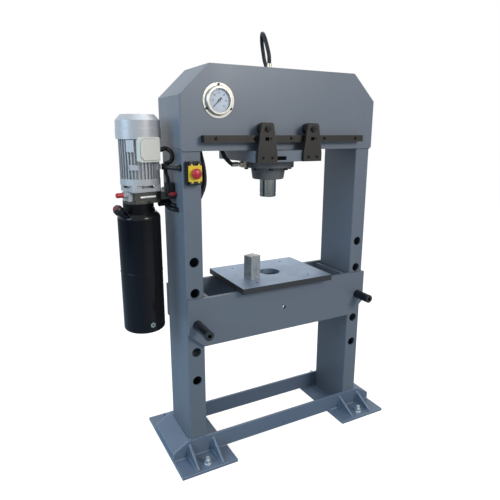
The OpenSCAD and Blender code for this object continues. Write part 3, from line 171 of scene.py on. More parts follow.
# %% Tubes
def tube(name, path, radius, sides=20, start=None, end=None):
    """A closed tube along path; radius is a number or a function of the distance along it.

    start and end, where given, are the directions in which the first and last ring face."""
    bm = bmesh.new()
    side, travelled, rings = None, 0.0, []
    for i, p in enumerate(path):
        ahead = (path[min(i + 1, len(path) - 1)] - path[max(i - 1, 0)]).normalized()
        if i == 0 and start:
            ahead = Vector(start).normalized()
        if i == len(path) - 1 and end:
            ahead = Vector(end).normalized()
        if side is None:
            side = ahead.orthogonal()
        side = (side - side.dot(ahead) * ahead).normalized()
        other = ahead.cross(side)
        if i:
            travelled += (p - path[i - 1]).length
        r = radius(travelled) if callable(radius) else radius
        rings.append([
            bm.verts.new(p + r * (math.cos(a) * side + math.sin(a) * other))
            for a in (2 * math.pi * k / sides for k in range(sides))
        ])
    for low, high in zip(rings, rings[1:]):
        for k in range(sides):
            m = (k + 1) % sides
            bm.faces.new((low[k], low[m], high[m], high[k]))
    bm.faces.new(rings[0][::-1])
    bm.faces.new(rings[-1])
    return mesh_piece(name, bm)


# %% [markdown]
# The motor and the block under it stand a little turned on the tank. An empty could be turned and
# made the parent of all that sits there. A function that turns the places does the same, and the
# hoses' points can use it too. It takes millimetres, along and across the block.

# %% Places on the turned block
motor_x, motor_y, motor_turn = -591, 35, math.radians(12)
block_way = Vector((math.cos(motor_turn), math.sin(motor_turn), 0))


def on_block(x, y, z):
    """A place in millimetres, from the motor's own axis and in its own turned directions."""
    return Vector((
        motor_x + x * math.cos(motor_turn) - y * math.sin(motor_turn),
        motor_y + x * math.sin(motor_turn) + y * math.cos(motor_turn), z))


print("the block is turned by", round(math.degrees(motor_turn)), "degrees")


# %% [markdown]
# Both hoses leave the block's right side and cross the left column, by one hole in each wall. That
# part of the two ways differs only in a few numbers, so a function gives it. The rest of each way
# is a list of places in millimetres, and the last ones are counted from the fitting itself.

# %% Through the column
column_out, column_in = -468, -390


def through_column(port, bends, outer_y, inner_y, hole_z):
    """From a port of the block, into the left column and out of its inner wall."""
    crossing = (
        (column_out - 2, outer_y + 1), (column_out + 12, outer_y),
        ((column_out + column_in) / 2, (outer_y + inner_y) / 2),
        (column_in - 12, inner_y), (column_in + 2, inner_y))
    return [port + Vector(b) for b in bends] + [Vector((x, y, hole_z)) for x, y in crossing]


def from_point(origin, steps):
    return [Vector(origin) + Vector(q) for q in steps]


print("the holes are", column_in - column_out, "mm apart")

# %% [markdown]
# The long hose rises beside the column, runs inside the crown, comes out on top in a loop and
# drops onto the cylinder's cap. Its last point is the fitting, and the loop hangs over it.

# %% The long hose's route
port_x, top_port, cap_port = 72.5, (-47, 1141), (-14, 0, 1713)
top_route = through_column(
    on_block(port_x, *top_port), ((0, 0, 0), (11, -5, -3), (15, -31, -14), (25, -54, -19)),
    outer_y=-56, inner_y=-24, hole_z=1120)
top_route += [Vector(q) for q in (
    (-358, -20, 1156), (-332, -14, 1212), (-332, -10, 1280), (-346, -4, 1360), (-338, 10, 1440),
    (-300, 34, 1525), (-236, 62, 1592), (-150, 90, 1628), (-66, 88, 1642))]
top_route += from_point(cap_port, (
    (20, 66, -30), (16, 74, 30), (6, 74, 84), (-4, 60, 118), (-12, 38, 124), (-13, 18, 104),
    (-8, 6, 68), (-2, 0, 34), (0, 0, 0)))
print("the long route has", len(top_route), "points")

# %% [markdown]
# The short hose rises beside the column too, and turns down again to the cylinder's flange, which
# it enters from the side. It stays clear of the long one all the way.

# %% The short hose's route
lower_port, flange_port = (-23, 1153), (-197, 0, 1291)
lower_route = through_column(
    on_block(port_x, *lower_port), ((0, 0, 0), (15, -2, -1), (30, -18, -5), (34, -42, -16)),
    outer_y=-30, inner_y=2, hole_z=1132)
lower_route += [Vector(q) for q in (
    (-360, 4, 1156), (-338, 9, 1212), (-338, 13, 1280), (-352, 26, 1360), (-338, 34, 1430),
    (-300, 30, 1460), (-264, 16, 1430), (-247, 4, 1371))]
lower_route += from_point(flange_port, ((-34, 0, 34), (0, 0, 0)))
print("the short route has", len(lower_route), "points")

# %% [markdown]
# A hose starts on the frame and ends on the carriage that slides. Each is built as one tube along
# its smoothed route, and the CAD piece that it stands for is hidden.

# %% The two hoses
hose_r = 0.0085
top_path = smooth([p / 1000 for p in top_route], 5)
lower_path = smooth([p / 1000 for p in lower_route], 5)
top_hose = tube("top-hose", top_path, hose_r, start=block_way, end=(0, 0, -1))
lower_hose = tube("lower-hose", lower_path, hose_r, start=block_way, end=(1, 0, 0))
for hose, path, name in ((top_hose, top_path, "top_hose"), (lower_hose, lower_path, "lower_hose")):
    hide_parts(name)
    print(name, "is", round(route_length(path), 3), "m long")
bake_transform(top_hose)
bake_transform(lower_hose)

# %% [markdown]
# The electric leads run in corrugated plastic conduit. Its ribs are real geometry here: the tube's
# radius rises and falls along the path, so the ribs also show at the outline. The motor's and the
# switch's conduit meet in a small junction, and the coil's lead drops from its underside.

# %% The conduits' routes
box_exit = on_block(58, -79, 1360)
junction = Vector((-500, -14, 1292))
conduit_r, lead_r = 0.0091, 0.0076
conduit_routes = {
    "motor_conduit": (conduit_r, block_way, (0, 0, -1), [
        box_exit, box_exit + Vector((16, 2, 4)), *from_point(junction, (
            (14, -24, 62), (22, -24, 42), (16, -20, 22), (2, 0, 12)))]),
    "switch_conduit": (conduit_r, (0, -1, 0), (1, 0, 0), [
        *from_point(junction, ((-2, -11, -1), (0, -34, -1), (6, -62, -1))),
        Vector((-490, -96, 1291)), Vector((-482, -104, 1291))]),
    "coil_lead": (lead_r, (0, 0, -1), (0, 0, -1), [
        *from_point(junction, ((0, 0, -12), (1, 0, -28))),
        Vector((-492, -14, 1243)), Vector((-492, -14, 1227))]),
}
print("the conduits meet", round(junction.z), "mm above the floor")

# %% [markdown]
# Each route holds its radius, the directions of its two ends and its points. The ribs need many
# rings, so the curve is cut far finer than a hose's, and about four rings go to each rib.

# %% The three conduits
rib_pitch, rib_depth = 0.0036, 0.0009
for name, (radius, start, end, route) in conduit_routes.items():
    path = smooth([p / 1000 for p in route], 24)
    piece = tube(
        name.replace("_", "-"), path,
        lambda s, r=radius: r - rib_depth * (0.5 - 0.5 * math.cos(2 * math.pi * s / rib_pitch)),
        sides=16, start=start, end=end)
    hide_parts(name)
    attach(piece, "frame")
    print(name, "is", round(1000 * route_length(path)), "mm long")

# %% [markdown]
# ## Small parts that complete the press
# A CAD model keeps only what has a real size. Welds, screw threads, the marks on the dial and the
# small screws of the covers come here, and each rides on the body that it belongs to. Painting
# them on as a bump would be cheaper, but a bump is flat at the outline and up close. The finishes
# are made further down, so each part is noted in a list with the name of the finish it will get.

# %% Helpers for the small parts
dressed_parts = []


def disc_on(bm, centre, radius, depth, facing, sides=24):
    """Adds a short cylinder whose front end looks along facing."""
    turned = Vector(facing).normalized().to_track_quat("Z", "Y").to_matrix().to_4x4()
    bmesh.ops.create_cone(
        bm, cap_ends=True, segments=sides, radius1=radius, radius2=radius, depth=depth,
        matrix=Matrix.Translation(centre) @ turned)


def box_on(bm, centre, size, turn=Matrix.Identity(3)):
    """Adds a box; turn is a rotation matrix about its own centre."""
    bmesh.ops.create_cube(bm, size=1, matrix=(
        Matrix.Translation(centre) @ turn.to_4x4() @ Matrix.Diagonal((*size, 1))))


def add_part(name, bm, look, body="frame"):
    """Turns a bmesh into a part that rides on a body and gets the finish named look."""
    part = mesh_piece(name, bm)
    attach(part, body)
    dressed_parts.append((part, look))
    print(name, "has", len(part.data.polygons), "faces")


# %% [markdown]
# A weld bead is a row of overlapping scales, laid by a torch that stops for a moment at each one.
# They could be single rings in a row. One tube whose radius swells at every scale does the same
# in one closed mesh, and most of it sinks into the two plates that it joins.

# %% One weld bead
def bead(name, points, look, radius=0.0035, body="frame"):
    ring_step, scale_length = 0.0012, 0.0042
    path = []
    for a, b in zip(points, points[1:]):
        a, b = Vector(a), Vector(b)
        count = max(2, int((b - a).length / ring_step))
        path += [a.lerp(b, k / count) for k in range(count)]
    path.append(Vector(points[-1]))
    part = tube(name, path, sides=8, radius=lambda s: radius * (
        0.82 + 0.18 * abs(math.sin(math.pi * s / scale_length))))
    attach(part, body)
    dressed_parts.append((part, look))


# %% [markdown]
# Two gussets stand at each corner of the frame, against the base bar, and each has a bead on both
# sides. One bead joins the bar to the foot, and one the crown's plate to the column. The frame is
# the same at its four corners, so two signs turn one set of places into all of them.

# %% The frame's welds
on_foot, at_bar, gusset_end, gusset_top = 0.0125, 0.1320, 0.2340, 0.070
gusset_x, gusset_t = (0.475, 0.360), 0.010
bar_weld, crown_weld, at_crown, crown_foot = (0.298, 0.553), (0.392, 0.466), 0.1225, 1.3545
corner = 0
for sx in (-1, 1):
    for sy in (-1, 1):
        corner += 1
        edges = [x + gusset_t * side for x in gusset_x for side in (0, 1)]
        for k, edge in enumerate(edges):
            bead(f"gusset-weld-{corner}-{k}", [
                (sx * edge, sy * at_bar, gusset_top), (sx * edge, sy * at_bar, on_foot),
                (sx * edge, sy * gusset_end, on_foot)], "foot paint")
        bead(f"bar-weld-{corner}", [(sx * x, sy * at_bar, on_foot) for x in bar_weld], "foot paint")
        bead(f"crown-weld-{corner}", [(sx * x, sy * at_crown, crown_foot) for x in crown_weld],
             "frame paint", 0.003)
print(corner * 6, "weld beads")

# %% [markdown]
# The tank is rolled from sheet. A thin seam runs round it at mid height, and a second one climbs
# from there to the top. Both are fine tubes, half sunk in the wall, because a seam is a smooth
# line of solder or weld that stands out by a millimetre or two.

# %% Tank seams
tank_x, tank_y, tank_r = -0.605, 0.035, 0.087


def around_tank(angle, reach, z):
    """A place by its angle round the tank's axis and its distance from that axis."""
    return Vector((tank_x + reach * math.cos(angle), tank_y + reach * math.sin(angle), z))


girth = [around_tank(2 * math.pi * k / 72, tank_r + 0.0002, 0.863) for k in range(73)]
upright = [around_tank(math.radians(259), tank_r + 0.0001, z) for z in (0.864, 0.98, 1.085)]
for name, path, radius in (
        ("tank-girth-seam", girth, 0.0014), ("tank-upright-seam", upright, 0.0009)):
    seam = tube(name, path, radius, sides=8)
    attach(seam, "frame")
    dressed_parts.append((seam, "tank lacquer"))
print("the round seam is", round(route_length(girth), 3), "m long")

# %% [markdown]
# The dial shows a pressure scale that sweeps 270 degrees, with seven plain numbers and a mark for
# every two units. A picture on the dial would blur up close. The marks are thin boxes and the
# numbers are text objects, so both stay sharp, and the numbers stay as easy to change as a word.

# %% Dial marks
dial = Vector((-0.315, -0.1361, 1.545))
scale_start, mark_step, mark_count, marks_per_number = 225, 9, 31, 5
mark_end, mark_t = 0.0415, 0.0003


def round_dial(k):
    """The angle of mark k and the direction from the dial's middle to it."""
    angle = math.radians(scale_start - mark_step * k)
    return angle, Vector((math.cos(angle), 0, math.sin(angle)))


bm = bmesh.new()
for k in range(mark_count):
    angle, way = round_dial(k)
    inner, width = (0.0345, 0.0011) if k % marks_per_number == 0 else (0.038, 0.0006)
    box_on(bm, dial + (inner + mark_end) / 2 * way, (mark_end - inner, mark_t, width),
           Matrix.Rotation(-angle, 3, "Y"))
add_part("dial-marks", bm, "pointer black")

# %% [markdown]
# The numbers stand upright inside the ring of marks, every ten units. A text object lies flat on
# the floor at first, so each is turned up by a right angle to face the front.

# %% Dial numbers
number_reach = 0.028
for k in range(7):
    angle, way = round_dial(marks_per_number * k)
    curve = bpy.data.curves.new(f"dial-number-{10 * k}", "FONT")
    curve.body = str(10 * k)
    curve.size = 0.0085
    curve.extrude = 0.00012
    curve.align_x, curve.align_y = "CENTER", "CENTER"
    number = link(bpy.data.objects.new(curve.name, curve))
    number.location = dial + number_reach * way
    number.rotation_euler = (math.pi / 2, 0, 0)
    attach(number, "frame")
    dressed_parts.append((number, "pointer black"))
print("the dial ends at", curve.body)

# %% [markdown]
# Each foot is bolted to the floor by two anchors, and above the nut their thread shows. A true
# thread is a groove cut into the bolt. A fine wire that winds round it looks the same at this
# size, and it needs no cut through the bolt's mesh.

# %% Threads of the anchor bolts
anchor_x, anchor_y, thread_r, thread_start = 0.425, 0.209, 0.0078, 0.0288
turns, per_turn, pitch = 7, 24, 0.002
for i, (sx, sy) in enumerate(((-1, -1), (-1, 1), (1, -1), (1, 1))):
    centre = Vector((sx * anchor_x, sy * anchor_y, thread_start))
    path = [
        centre + Vector((thread_r * math.cos(a), thread_r * math.sin(a), pitch * a / (2 * math.pi)))
        for a in (2 * math.pi * k / per_turn for k in range(turns * per_turn))]
    thread = tube(f"anchor-thread-{i}", path, 0.0008, sides=6)
    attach(thread, "frame")
    dressed_parts.append((thread, "zinc"))
print(i + 1, "threads, each", 1000 * turns * pitch, "mm high")

# %% [markdown]
# The motor's terminal box has a lid with a screw in each corner. Box and lid stand on the turned
# motor, so their places are given on the block, and the screws face outwards from the lid.

# %% Screws of the terminal box
box_mid_z, lid_face = 1360.5, -92
screw_x, screw_z, screw_lift = 36, 39, 0.6
outward = (on_block(0, -1, 0) - on_block(0, 0, 0)).normalized()
bm = bmesh.new()
for dx in (-screw_x, screw_x):
    for dz in (-screw_z, screw_z):
        head = on_block(dx, lid_face - screw_lift, box_mid_z + dz) / 1000
        disc_on(bm, head, 0.0036, 0.0016, outward, 20)
add_part("terminal-box-screws", bm, "zinc")

# %% [markdown]
# The filler cap has a dark red top. A second material slot on the cap would need its faces picked
# out. A thin disc is simpler: it lies on the cap, square to the slanting neck, and turns with it.

# %% The filler cap's red top
neck_foot, neck_length = Vector((-0.673, -0.010, 1.100)), 0.0626
neck_way = Vector((-0.62, -0.40, 0.68)).normalized()
bm = bmesh.new()
disc_on(bm, neck_foot + neck_length * neck_way, 0.0125, 0.0012, neck_way, 32)
add_part("filler-cap-top", bm, "dark red plastic", "filler_cap")

# %% [markdown]
# The terminal box's lid stands raised on the box, and a thin grey line round it is painted shade
# along that raised edge: a fine tube round the lid's outline, which is a square with cut corners.

# %% The painted shade round the lid
half, cut = 40, 27
outline = [(-cut, -half), (cut, -half), (half, -cut), (half, cut),
           (cut, half), (-cut, half), (-half, cut), (-half, -cut)]
edge = [on_block(x, lid_face, box_mid_z + z) / 1000 for x, z in outline]
# This grey line is painted shade along the raised lid's edge.
lid_edge_shade = tube("lid-gasket", edge + edge[:2], 0.0011, sides=8)
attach(lid_edge_shade, "frame")
dressed_parts.append((lid_edge_shade, "grey gasket"))
print("the gasket is", round(1000 * route_length(edge + edge[:1])), "mm round")

# %% [markdown]
# The drain plug has a six-sided socket for its key, and the slot in the edge of the carriage is
# dark with shade, which a black plate paints in. From outside both are just dark shapes, so a thin
# plate in front of the face does.

# %% The drain plug's socket and the painted shade in the carriage's slot
drain_angle, drain_z, drain_stands = math.radians(-84), 0.643, 0.008
drain_way = (math.cos(drain_angle), math.sin(drain_angle), 0)
bm = bmesh.new()
disc_on(bm, around_tank(drain_angle, tank_r + drain_stands, drain_z), 0.004, 0.0006, drain_way, 6)
add_part("drain-plug-socket", bm, "black plastic")
# The thin black plate in the carriage's slot is painted shade.
bm = bmesh.new()
box_on(bm, Vector((-0.051, -0.1655, 1.322)), (0.0494, 0.001, 0.0154))
add_part("carriage-insert", bm, "slot black", "carriage")

# %% [markdown]
# The bed pins are cut from blued bar, so each sawn end is paler than the sides, around the hole in
# its middle. A flat ring gives that face. It takes its place and width from the pin's own box in
# the frame, so it still fits when the pin changes.

# %% Sawn ends of the bed pins
hole_r, rim, end_t, ring_sides = 0.0081, 0.0022, 0.0006, 48


def sawn_end(low, high):
    """A flat ring, half sunk in the front end of the pin that fills the box."""
    bm = bmesh.new()
    ring = [
        [bm.verts.new(((low[0] + high[0]) / 2 + r * math.cos(a), low[1] - end_t / 2,
                       (low[2] + high[2]) / 2 + r * math.sin(a)))
         for a in (2 * math.pi * k / ring_sides for k in range(ring_sides))]
        for r in (hole_r, (high[0] - low[0]) / 2 - rim)]
    for k in range(ring_sides):
        bm.faces.new((ring[0][k], ring[1][k], ring[1][k - 1], ring[0][k - 1]))
    face = bmesh.ops.extrude_face_region(bm, geom=bm.faces[:])
    bmesh.ops.translate(bm, verts=[v for v in face["geom"] if isinstance(v, bmesh.types.BMVert)],
                        vec=(0, end_t, 0))
    bmesh.ops.recalc_face_normals(bm, faces=bm.faces)
    return bm


for name, body in (("left_bed_pin", "left_pin"), ("right_bed_pin", "right_pin")):
    box = [nodes[name].matrix_world @ Vector(q) for q in nodes[name].bound_box]
    low, high = ([pick(q[axis] for q in box) for axis in range(3)] for pick in (min, max))
    add_part(f"{body.replace('_', '-')}-end", sawn_end(low, high), "cut steel", body)
    print(name, "is", round(1000 * (high[0] - low[0]), 1), "mm thick")

# %% [markdown]
# A bright plug closes a drilling across the block. The rod lies in the block's front, and both of
# its ends are turned square to the block, which a tube along a straight way gives at once.

# %% The block's cross plug
plug_y, plug_z, plug_x = -52.5, 1174, (-31.2, 2, 35.2)
rod = tube("block-plug", [on_block(x, plug_y, plug_z) / 1000 for x in plug_x], 0.0053,
           start=block_way, end=block_way)
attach(rod, "frame")
dressed_parts.append((rod, "bright steel"))
print(len(dressed_parts), "small parts")

# %% [markdown]
# ## Nodes in few words
# The world, the floor and every finish are built from shader nodes. Three helpers keep that easy
# to read: one adds a node, one draws a wire, and one adds a sum of two numbers or wires.

# %% Node helpers
def node(tree, kind, **settings):
    made = tree.nodes.new("ShaderNode" + kind)
    for key, value in settings.items():
        setattr(made, key, value)
    return made


def wire(tree, source, target):
    tree.links.new(source, target)


def maths(tree, operation, a, b=None, clamp=False):
    """A Math node; a and b are sockets or numbers. Gives back its output."""
    made = node(tree, "Math", operation=operation, use_clamp=clamp)
    for slot_number, value in enumerate((a, b)):
        if value is None:
            continue
        if isinstance(value, (int, float)):
            made.inputs[slot_number].default_value = value
        else:
            wire(tree, value, made.inputs[slot_number])
    return made.outputs[0]


# %% [markdown]
# ## Floor, background and light
# The press stands in a white studio. A world that is bright enough to look white would also light
# the press far too much. So it is white only where the camera, a reflection or glass looks at it,
# and lights the press at a plain level. The Light Path node tells these rays apart.

# %% World
scene = bpy.context.scene
scene.view_settings.view_transform = "Standard"
world = bpy.data.worlds.new("studio")
scene.world = world
world.use_nodes = True
tree = world.node_tree
tree.nodes.clear()
rays = node(tree, "LightPath")
seen = maths(tree, "MAXIMUM", rays.outputs["Is Camera Ray"], rays.outputs["Is Transmission Ray"])
white, ambient = node(tree, "Background"), node(tree, "Background")
white.inputs["Color"].default_value = (1, 1, 1, 1)
ambient.inputs["Color"].default_value = (0.80, 0.90, 1.0, 1)
ambient.inputs["Strength"].default_value = 0.55
mix, out = node(tree, "MixShader"), node(tree, "OutputWorld")
wire(tree, maths(tree, "MAXIMUM", seen, rays.outputs["Is Glossy Ray"]), mix.inputs[0])
wire(tree, ambient.outputs[0], mix.inputs[1])
wire(tree, white.outputs[0], mix.inputs[2])
wire(tree, mix.outputs[0], out.inputs["Surface"])
print("the world lights at", round(ambient.inputs["Strength"].default_value, 2))

# %% [markdown]
# For the camera the floor is a pale diffuse surface with a glow that lifts it to white, so that it
# still takes the press's shadow. For all other rays it is a plain grey, so it throws little light
# back up at the press.

# %% Floor
bm = bmesh.new()
bmesh.ops.create_grid(bm, x_segments=1, y_segments=1, size=14)
floor = mesh_piece("floor", bm)
floor.location.z = -0.0005
floor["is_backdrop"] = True
floor_material = bpy.data.materials.new("white floor")
floor_material.use_nodes = True
tree = floor_material.node_tree
tree.nodes.clear()
plain, seen_floor = node(tree, "BsdfDiffuse"), node(tree, "BsdfDiffuse")
plain.inputs["Color"].default_value = (0.37, 0.42, 0.47, 1)
seen_floor.inputs["Color"].default_value = (0.46, 0.41, 0.37, 1)
glow = node(tree, "Emission")
glow.inputs["Color"].default_value = (1, 1, 1, 1)
glow.inputs["Strength"].default_value = 0.80
rays, both = node(tree, "LightPath"), node(tree, "AddShader")
mix, out = node(tree, "MixShader"), node(tree, "OutputMaterial")
wire(tree, seen_floor.outputs[0], both.inputs[0])
wire(tree, glow.outputs[0], both.inputs[1])
wire(tree, rays.outputs["Is Camera Ray"], mix.inputs[0])
wire(tree, plain.outputs[0], mix.inputs[1])
wire(tree, both.outputs[0], mix.inputs[2])
wire(tree, mix.outputs[0], out.inputs["Surface"])
floor.data.materials.append(floor_material)
print("the floor is", round(floor.dimensions.x), "m wide")

# %% [markdown]
# Three soft area lamps give the faces their different tones: a nearly neutral one from the front,
# a bluer one from the left, and a weak, cool one from above. All of them look at the press's
# middle. A small lamp draws a crisper shadow than a big one, so the front one is the smallest.

# %% Lamps
press_middle = Vector((0, 0, 0.9))


def lamp(name, place, size, power, colour):
    data = bpy.data.lights.new(name, "AREA")
    data.size, data.energy, data.color = size, power, colour
    obj = link(bpy.data.objects.new(name, data))
    obj.location = place
    obj.rotation_mode = "QUATERNION"
    obj.rotation_quaternion = (Vector(place) - press_middle).to_track_quat("Z", "Y")
    print("lamp", name, "gives", power, "W")


lamp("front", (1.5, -4.1, 3.0), 1.3, 120, (1.0, 0.98, 0.95))
lamp("left", (-4.0, -0.6, 2.6), 2.4, 118, (0.54, 0.79, 1.0))
lamp("top", (0.3, 0.8, 4.6), 2.4, 66, (0.82, 0.93, 1.0))

# %% [markdown]
# ## Shared surface effects
# Paint, steel and plastic share three effects: worn edges, a fine grain, and soft stains. On the
# feet and the base bars the worn edges also carry a painted highlight, and on the tank and the ram
# the stains are painted reflection streaks. Each is a node group with its own inputs, so every
# material uses the same wiring with other values. A group gives out a mask or a height only, and
# the shader itself stays in each material.

# %% An empty group
def new_group(name, inputs, outputs):
    """An empty shader group: inputs are (name, default), outputs are (name, socket type)."""
    group = bpy.data.node_groups.new(name, "ShaderNodeTree")
    for label, value in inputs:
        socket = group.interface.new_socket(label, in_out="INPUT", socket_type="NodeSocketFloat")
        socket.default_value = value
    for label, kind in outputs:
        group.interface.new_socket(label, in_out="OUTPUT", socket_type=kind)
    print("group", name, "takes", ", ".join(label for label, value in inputs))
    return group, group.nodes.new("NodeGroupInput"), group.nodes.new("NodeGroupOutput")


# %% [markdown]
# Paint and oxide wear off along edges first. Pointiness would find them too, but only where the
# mesh has vertices. A Bevel node bends the normal near edges on any mesh, so where it differs from
# the true normal there is an edge. Noise breaks the worn line up. On the feet and the base bars the
# same mask also lays a pale blue painted highlight along the edges.

# %% Worn edges and painted edge highlights
edge_wear, given, result = new_group(
    "edge wear", [("Width", 0.001), ("Amount", 0.5), ("Scale", 60)], [("Mask", "NodeSocketFloat")])
soft = node(edge_wear, "Bevel", samples=4)
wire(edge_wear, given.outputs["Width"], soft.inputs["Radius"])
true = node(edge_wear, "NewGeometry")
dot = node(edge_wear, "VectorMath", operation="DOT_PRODUCT")
wire(edge_wear, soft.outputs[0], dot.inputs[0])
wire(edge_wear, true.outputs["Normal"], dot.inputs[1])
place = node(edge_wear, "TexCoord")
noise = node(edge_wear, "TexNoise")
noise.inputs["Detail"].default_value = 6
noise.inputs["Roughness"].default_value = 0.65
wire(edge_wear, place.outputs["Object"], noise.inputs["Vector"])
wire(edge_wear, given.outputs["Scale"], noise.inputs["Scale"])
bend_gain, noise_gain, noise_cut = 6.0, 2.2, 0.6
bend = maths(edge_wear, "SUBTRACT", 1.0, dot.outputs["Value"])
bent = maths(edge_wear, "MULTIPLY", bend, bend_gain)
patchy = maths(edge_wear, "MULTIPLY", noise.outputs[0], noise_gain)
patchy = maths(edge_wear, "SUBTRACT", patchy, noise_cut)
worn = maths(edge_wear, "MULTIPLY", maths(edge_wear, "MULTIPLY", bent, patchy),
             given.outputs["Amount"], clamp=True)
wire(edge_wear, worn, result.inputs["Mask"])

# %% [markdown]
# No surface is perfectly even. The grain adds two sizes of noise: a fine one for the orange peel
# of sprayed paint or the grit of a casting, and slow waves under it. It only drives the bump.

# %% Fine grain
grain, given, result = new_group(
    "grain", [("Fine Scale", 900), ("Wave Scale", 30), ("Wave Share", 0.3)],
    [("Height", "NodeSocketFloat")])
place = node(grain, "TexCoord")
fine = node(grain, "TexNoise")
fine.inputs["Detail"].default_value = 3
waves = node(grain, "TexNoise")
waves.inputs["Detail"].default_value = 2
for texture, label in ((fine, "Fine Scale"), (waves, "Wave Scale")):
    wire(grain, place.outputs["Object"], texture.inputs["Vector"])
    wire(grain, given.outputs[label], texture.inputs["Scale"])
slow = maths(grain, "MULTIPLY", waves.outputs[0], given.outputs["Wave Share"])
wire(grain, maths(grain, "ADD", fine.outputs[0], slow), result.inputs["Height"])

# %% [markdown]
# Handling, oil and rolling leave a surface slightly uneven in tone and gloss. The mask is a slow
# noise. Its vertical direction can be squeezed, which draws the stains out into upright streaks. On
# the tank and the ram these upright streaks are painted reflections, not stains.

# %% Soft stains and painted reflection streaks
stains, given, result = new_group(
    "stains", [("Scale", 4), ("Contrast", 1.5), ("Stretch", 0.35)], [("Mask", "NodeSocketFloat")])
place = node(stains, "TexCoord")
squeeze = node(stains, "CombineXYZ")
squeeze.inputs[0].default_value = squeeze.inputs[1].default_value = 1
wire(stains, given.outputs["Stretch"], squeeze.inputs[2])
scaled = node(stains, "VectorMath", operation="MULTIPLY")
wire(stains, place.outputs["Object"], scaled.inputs[0])
wire(stains, squeeze.outputs[0], scaled.inputs[1])
noise = node(stains, "TexNoise")
noise.inputs["Detail"].default_value = 8
noise.inputs["Roughness"].default_value = 0.6
wire(stains, scaled.outputs[0], noise.inputs["Vector"])
wire(stains, given.outputs["Scale"], noise.inputs["Scale"])
from_middle = maths(stains, "SUBTRACT", noise.outputs[0], 0.5)
centred = maths(stains, "MULTIPLY", from_middle, given.outputs["Contrast"])
wire(stains, maths(stains, "ADD", centred, 0.5, clamp=True), result.inputs["Mask"])


# %% [markdown]
# ## One recipe for every finish
# Most finishes here differ only in their numbers: two tones that the stains mix, which on the tank
# and the ram are painted reflection streaks, the colour that shows where an edge is worn, which on
# the feet and the base bars is also a painted highlight, the gloss, and how strong the grain is.
# Copying one material and changing it by hand would hide these numbers. So one function builds a
# finish from the groups, and each finish below gives it its own values.

# %% Colours, and groups in a material
def linear(*rgb):
    """Colours are noted as 0-255 screen values, and shaders need them linear."""
    out = []
    for c in rgb:
        c /= 255
        out.append(c / 12.92 if c <= 0.04045 else ((c + 0.055) / 1.055) ** 2.4)
    return (*out, 1.0)


def put(tree, group, **values):
    """Places a group in a material; a _ in a name stands for the space in the input's name."""
    made = tree.nodes.new("ShaderNodeGroup")
    made.node_tree = group
    for label, value in values.items():
        made.inputs[label.replace("_", " ")].default_value = value
    return made


# %% [markdown]
# The recipe starts from the shader that Blender gives a new material. Stains mix the two tones and
# move the roughness with them; on the tank and the ram they are painted reflection streaks. Worn
# edges lie over that, on the feet and the base bars with a painted highlight, and the grain drives
# a Bump node.

# %% The finish recipe
relief_depth = 0.0003


def finish(name, tone, other_tone=None, worn=None, rough=(0.4, 0.5), metal=0.0, specular=0.5,
           stain_scale=4, stretch=0.35, contrast=1.5, wear=0.4, wear_width=0.001, worn_metal=1.0,
           fine=900, bump=0.1):
    """A material in which soft marks of handling and oil mix two tones, and the lowest and highest
    roughness with them; on the tank and the ram these marks are painted reflection streaks.

    worn is the colour of edges rubbed to the metal, and on the feet and the base bars
    also a painted edge highlight; wear and wear_width say how much of them
    shows and how far it reaches, worn_metal is how metallic they are, and fine and bump
    set the grain."""
    material = bpy.data.materials.new(name)
    material.use_nodes = True
    tree = material.node_tree
    shader = tree.nodes["Principled BSDF"]
    stain = put(tree, stains, Scale=stain_scale, Stretch=stretch, Contrast=contrast)
    colour = node(tree, "Mix", data_type="RGBA")
    colour.inputs[6].default_value = linear(*tone)
    colour.inputs[7].default_value = linear(*(other_tone or tone))
    wire(tree, stain.outputs["Mask"], colour.inputs[0])
    shade = colour.outputs[2]
    gloss = node(tree, "MapRange")
    gloss.inputs["To Min"].default_value, gloss.inputs["To Max"].default_value = rough
    wire(tree, stain.outputs["Mask"], gloss.inputs["Value"])
    shader.inputs["Metallic"].default_value = metal
    shader.inputs["Specular IOR Level"].default_value = specular
    if worn:
        edge = put(tree, edge_wear, Width=wear_width, Amount=wear)
        rubbed_and_highlit_mix = node(tree, "Mix", data_type="RGBA")
        rubbed_and_highlit_mix.inputs[7].default_value = linear(*worn)
        wire(tree, edge.outputs["Mask"], rubbed_and_highlit_mix.inputs[0])
        wire(tree, shade, rubbed_and_highlit_mix.inputs[6])
        shade = rubbed_and_highlit_mix.outputs[2]
        if worn_metal != metal:
            share = node(tree, "MapRange")
            share.inputs["To Min"].default_value = metal
            share.inputs["To Max"].default_value = worn_metal
            wire(tree, edge.outputs["Mask"], share.inputs["Value"])
            wire(tree, share.outputs[0], shader.inputs["Metallic"])
    wire(tree, shade, shader.inputs["Base Color"])
    wire(tree, gloss.outputs[0], shader.inputs["Roughness"])
    if bump:
        texture = put(tree, grain, Fine_Scale=fine)
        relief = node(tree, "Bump")
        relief.inputs["Strength"].default_value = bump
        relief.inputs["Distance"].default_value = relief_depth
        wire(tree, texture.outputs["Height"], relief.inputs["Height"])
        wire(tree, relief.outputs[0], shader.inputs["Normal"])
    return material


# %% [markdown]
# The frame is sprayed in one dark grey. On the feet and the base bars the paint is bluer and worn
# down to a pale line along the edges, and that pale blue line is partly a painted highlight. The
# cylinder has a neutral grey of its own, and the tank's lacquer has upright brown streaks that are
# painted reflections.

# %% Paints
finishes = {}


def add_finish(name, *tones, **values):
    finishes[name] = finish(name, *tones, **values)


add_finish("frame paint", (100, 106, 115), (90, 97, 107), worn=(140, 144, 148), rough=(0.34, 0.46),
           wear=0.25, wear_width=0.0012, fine=700, bump=0.12)
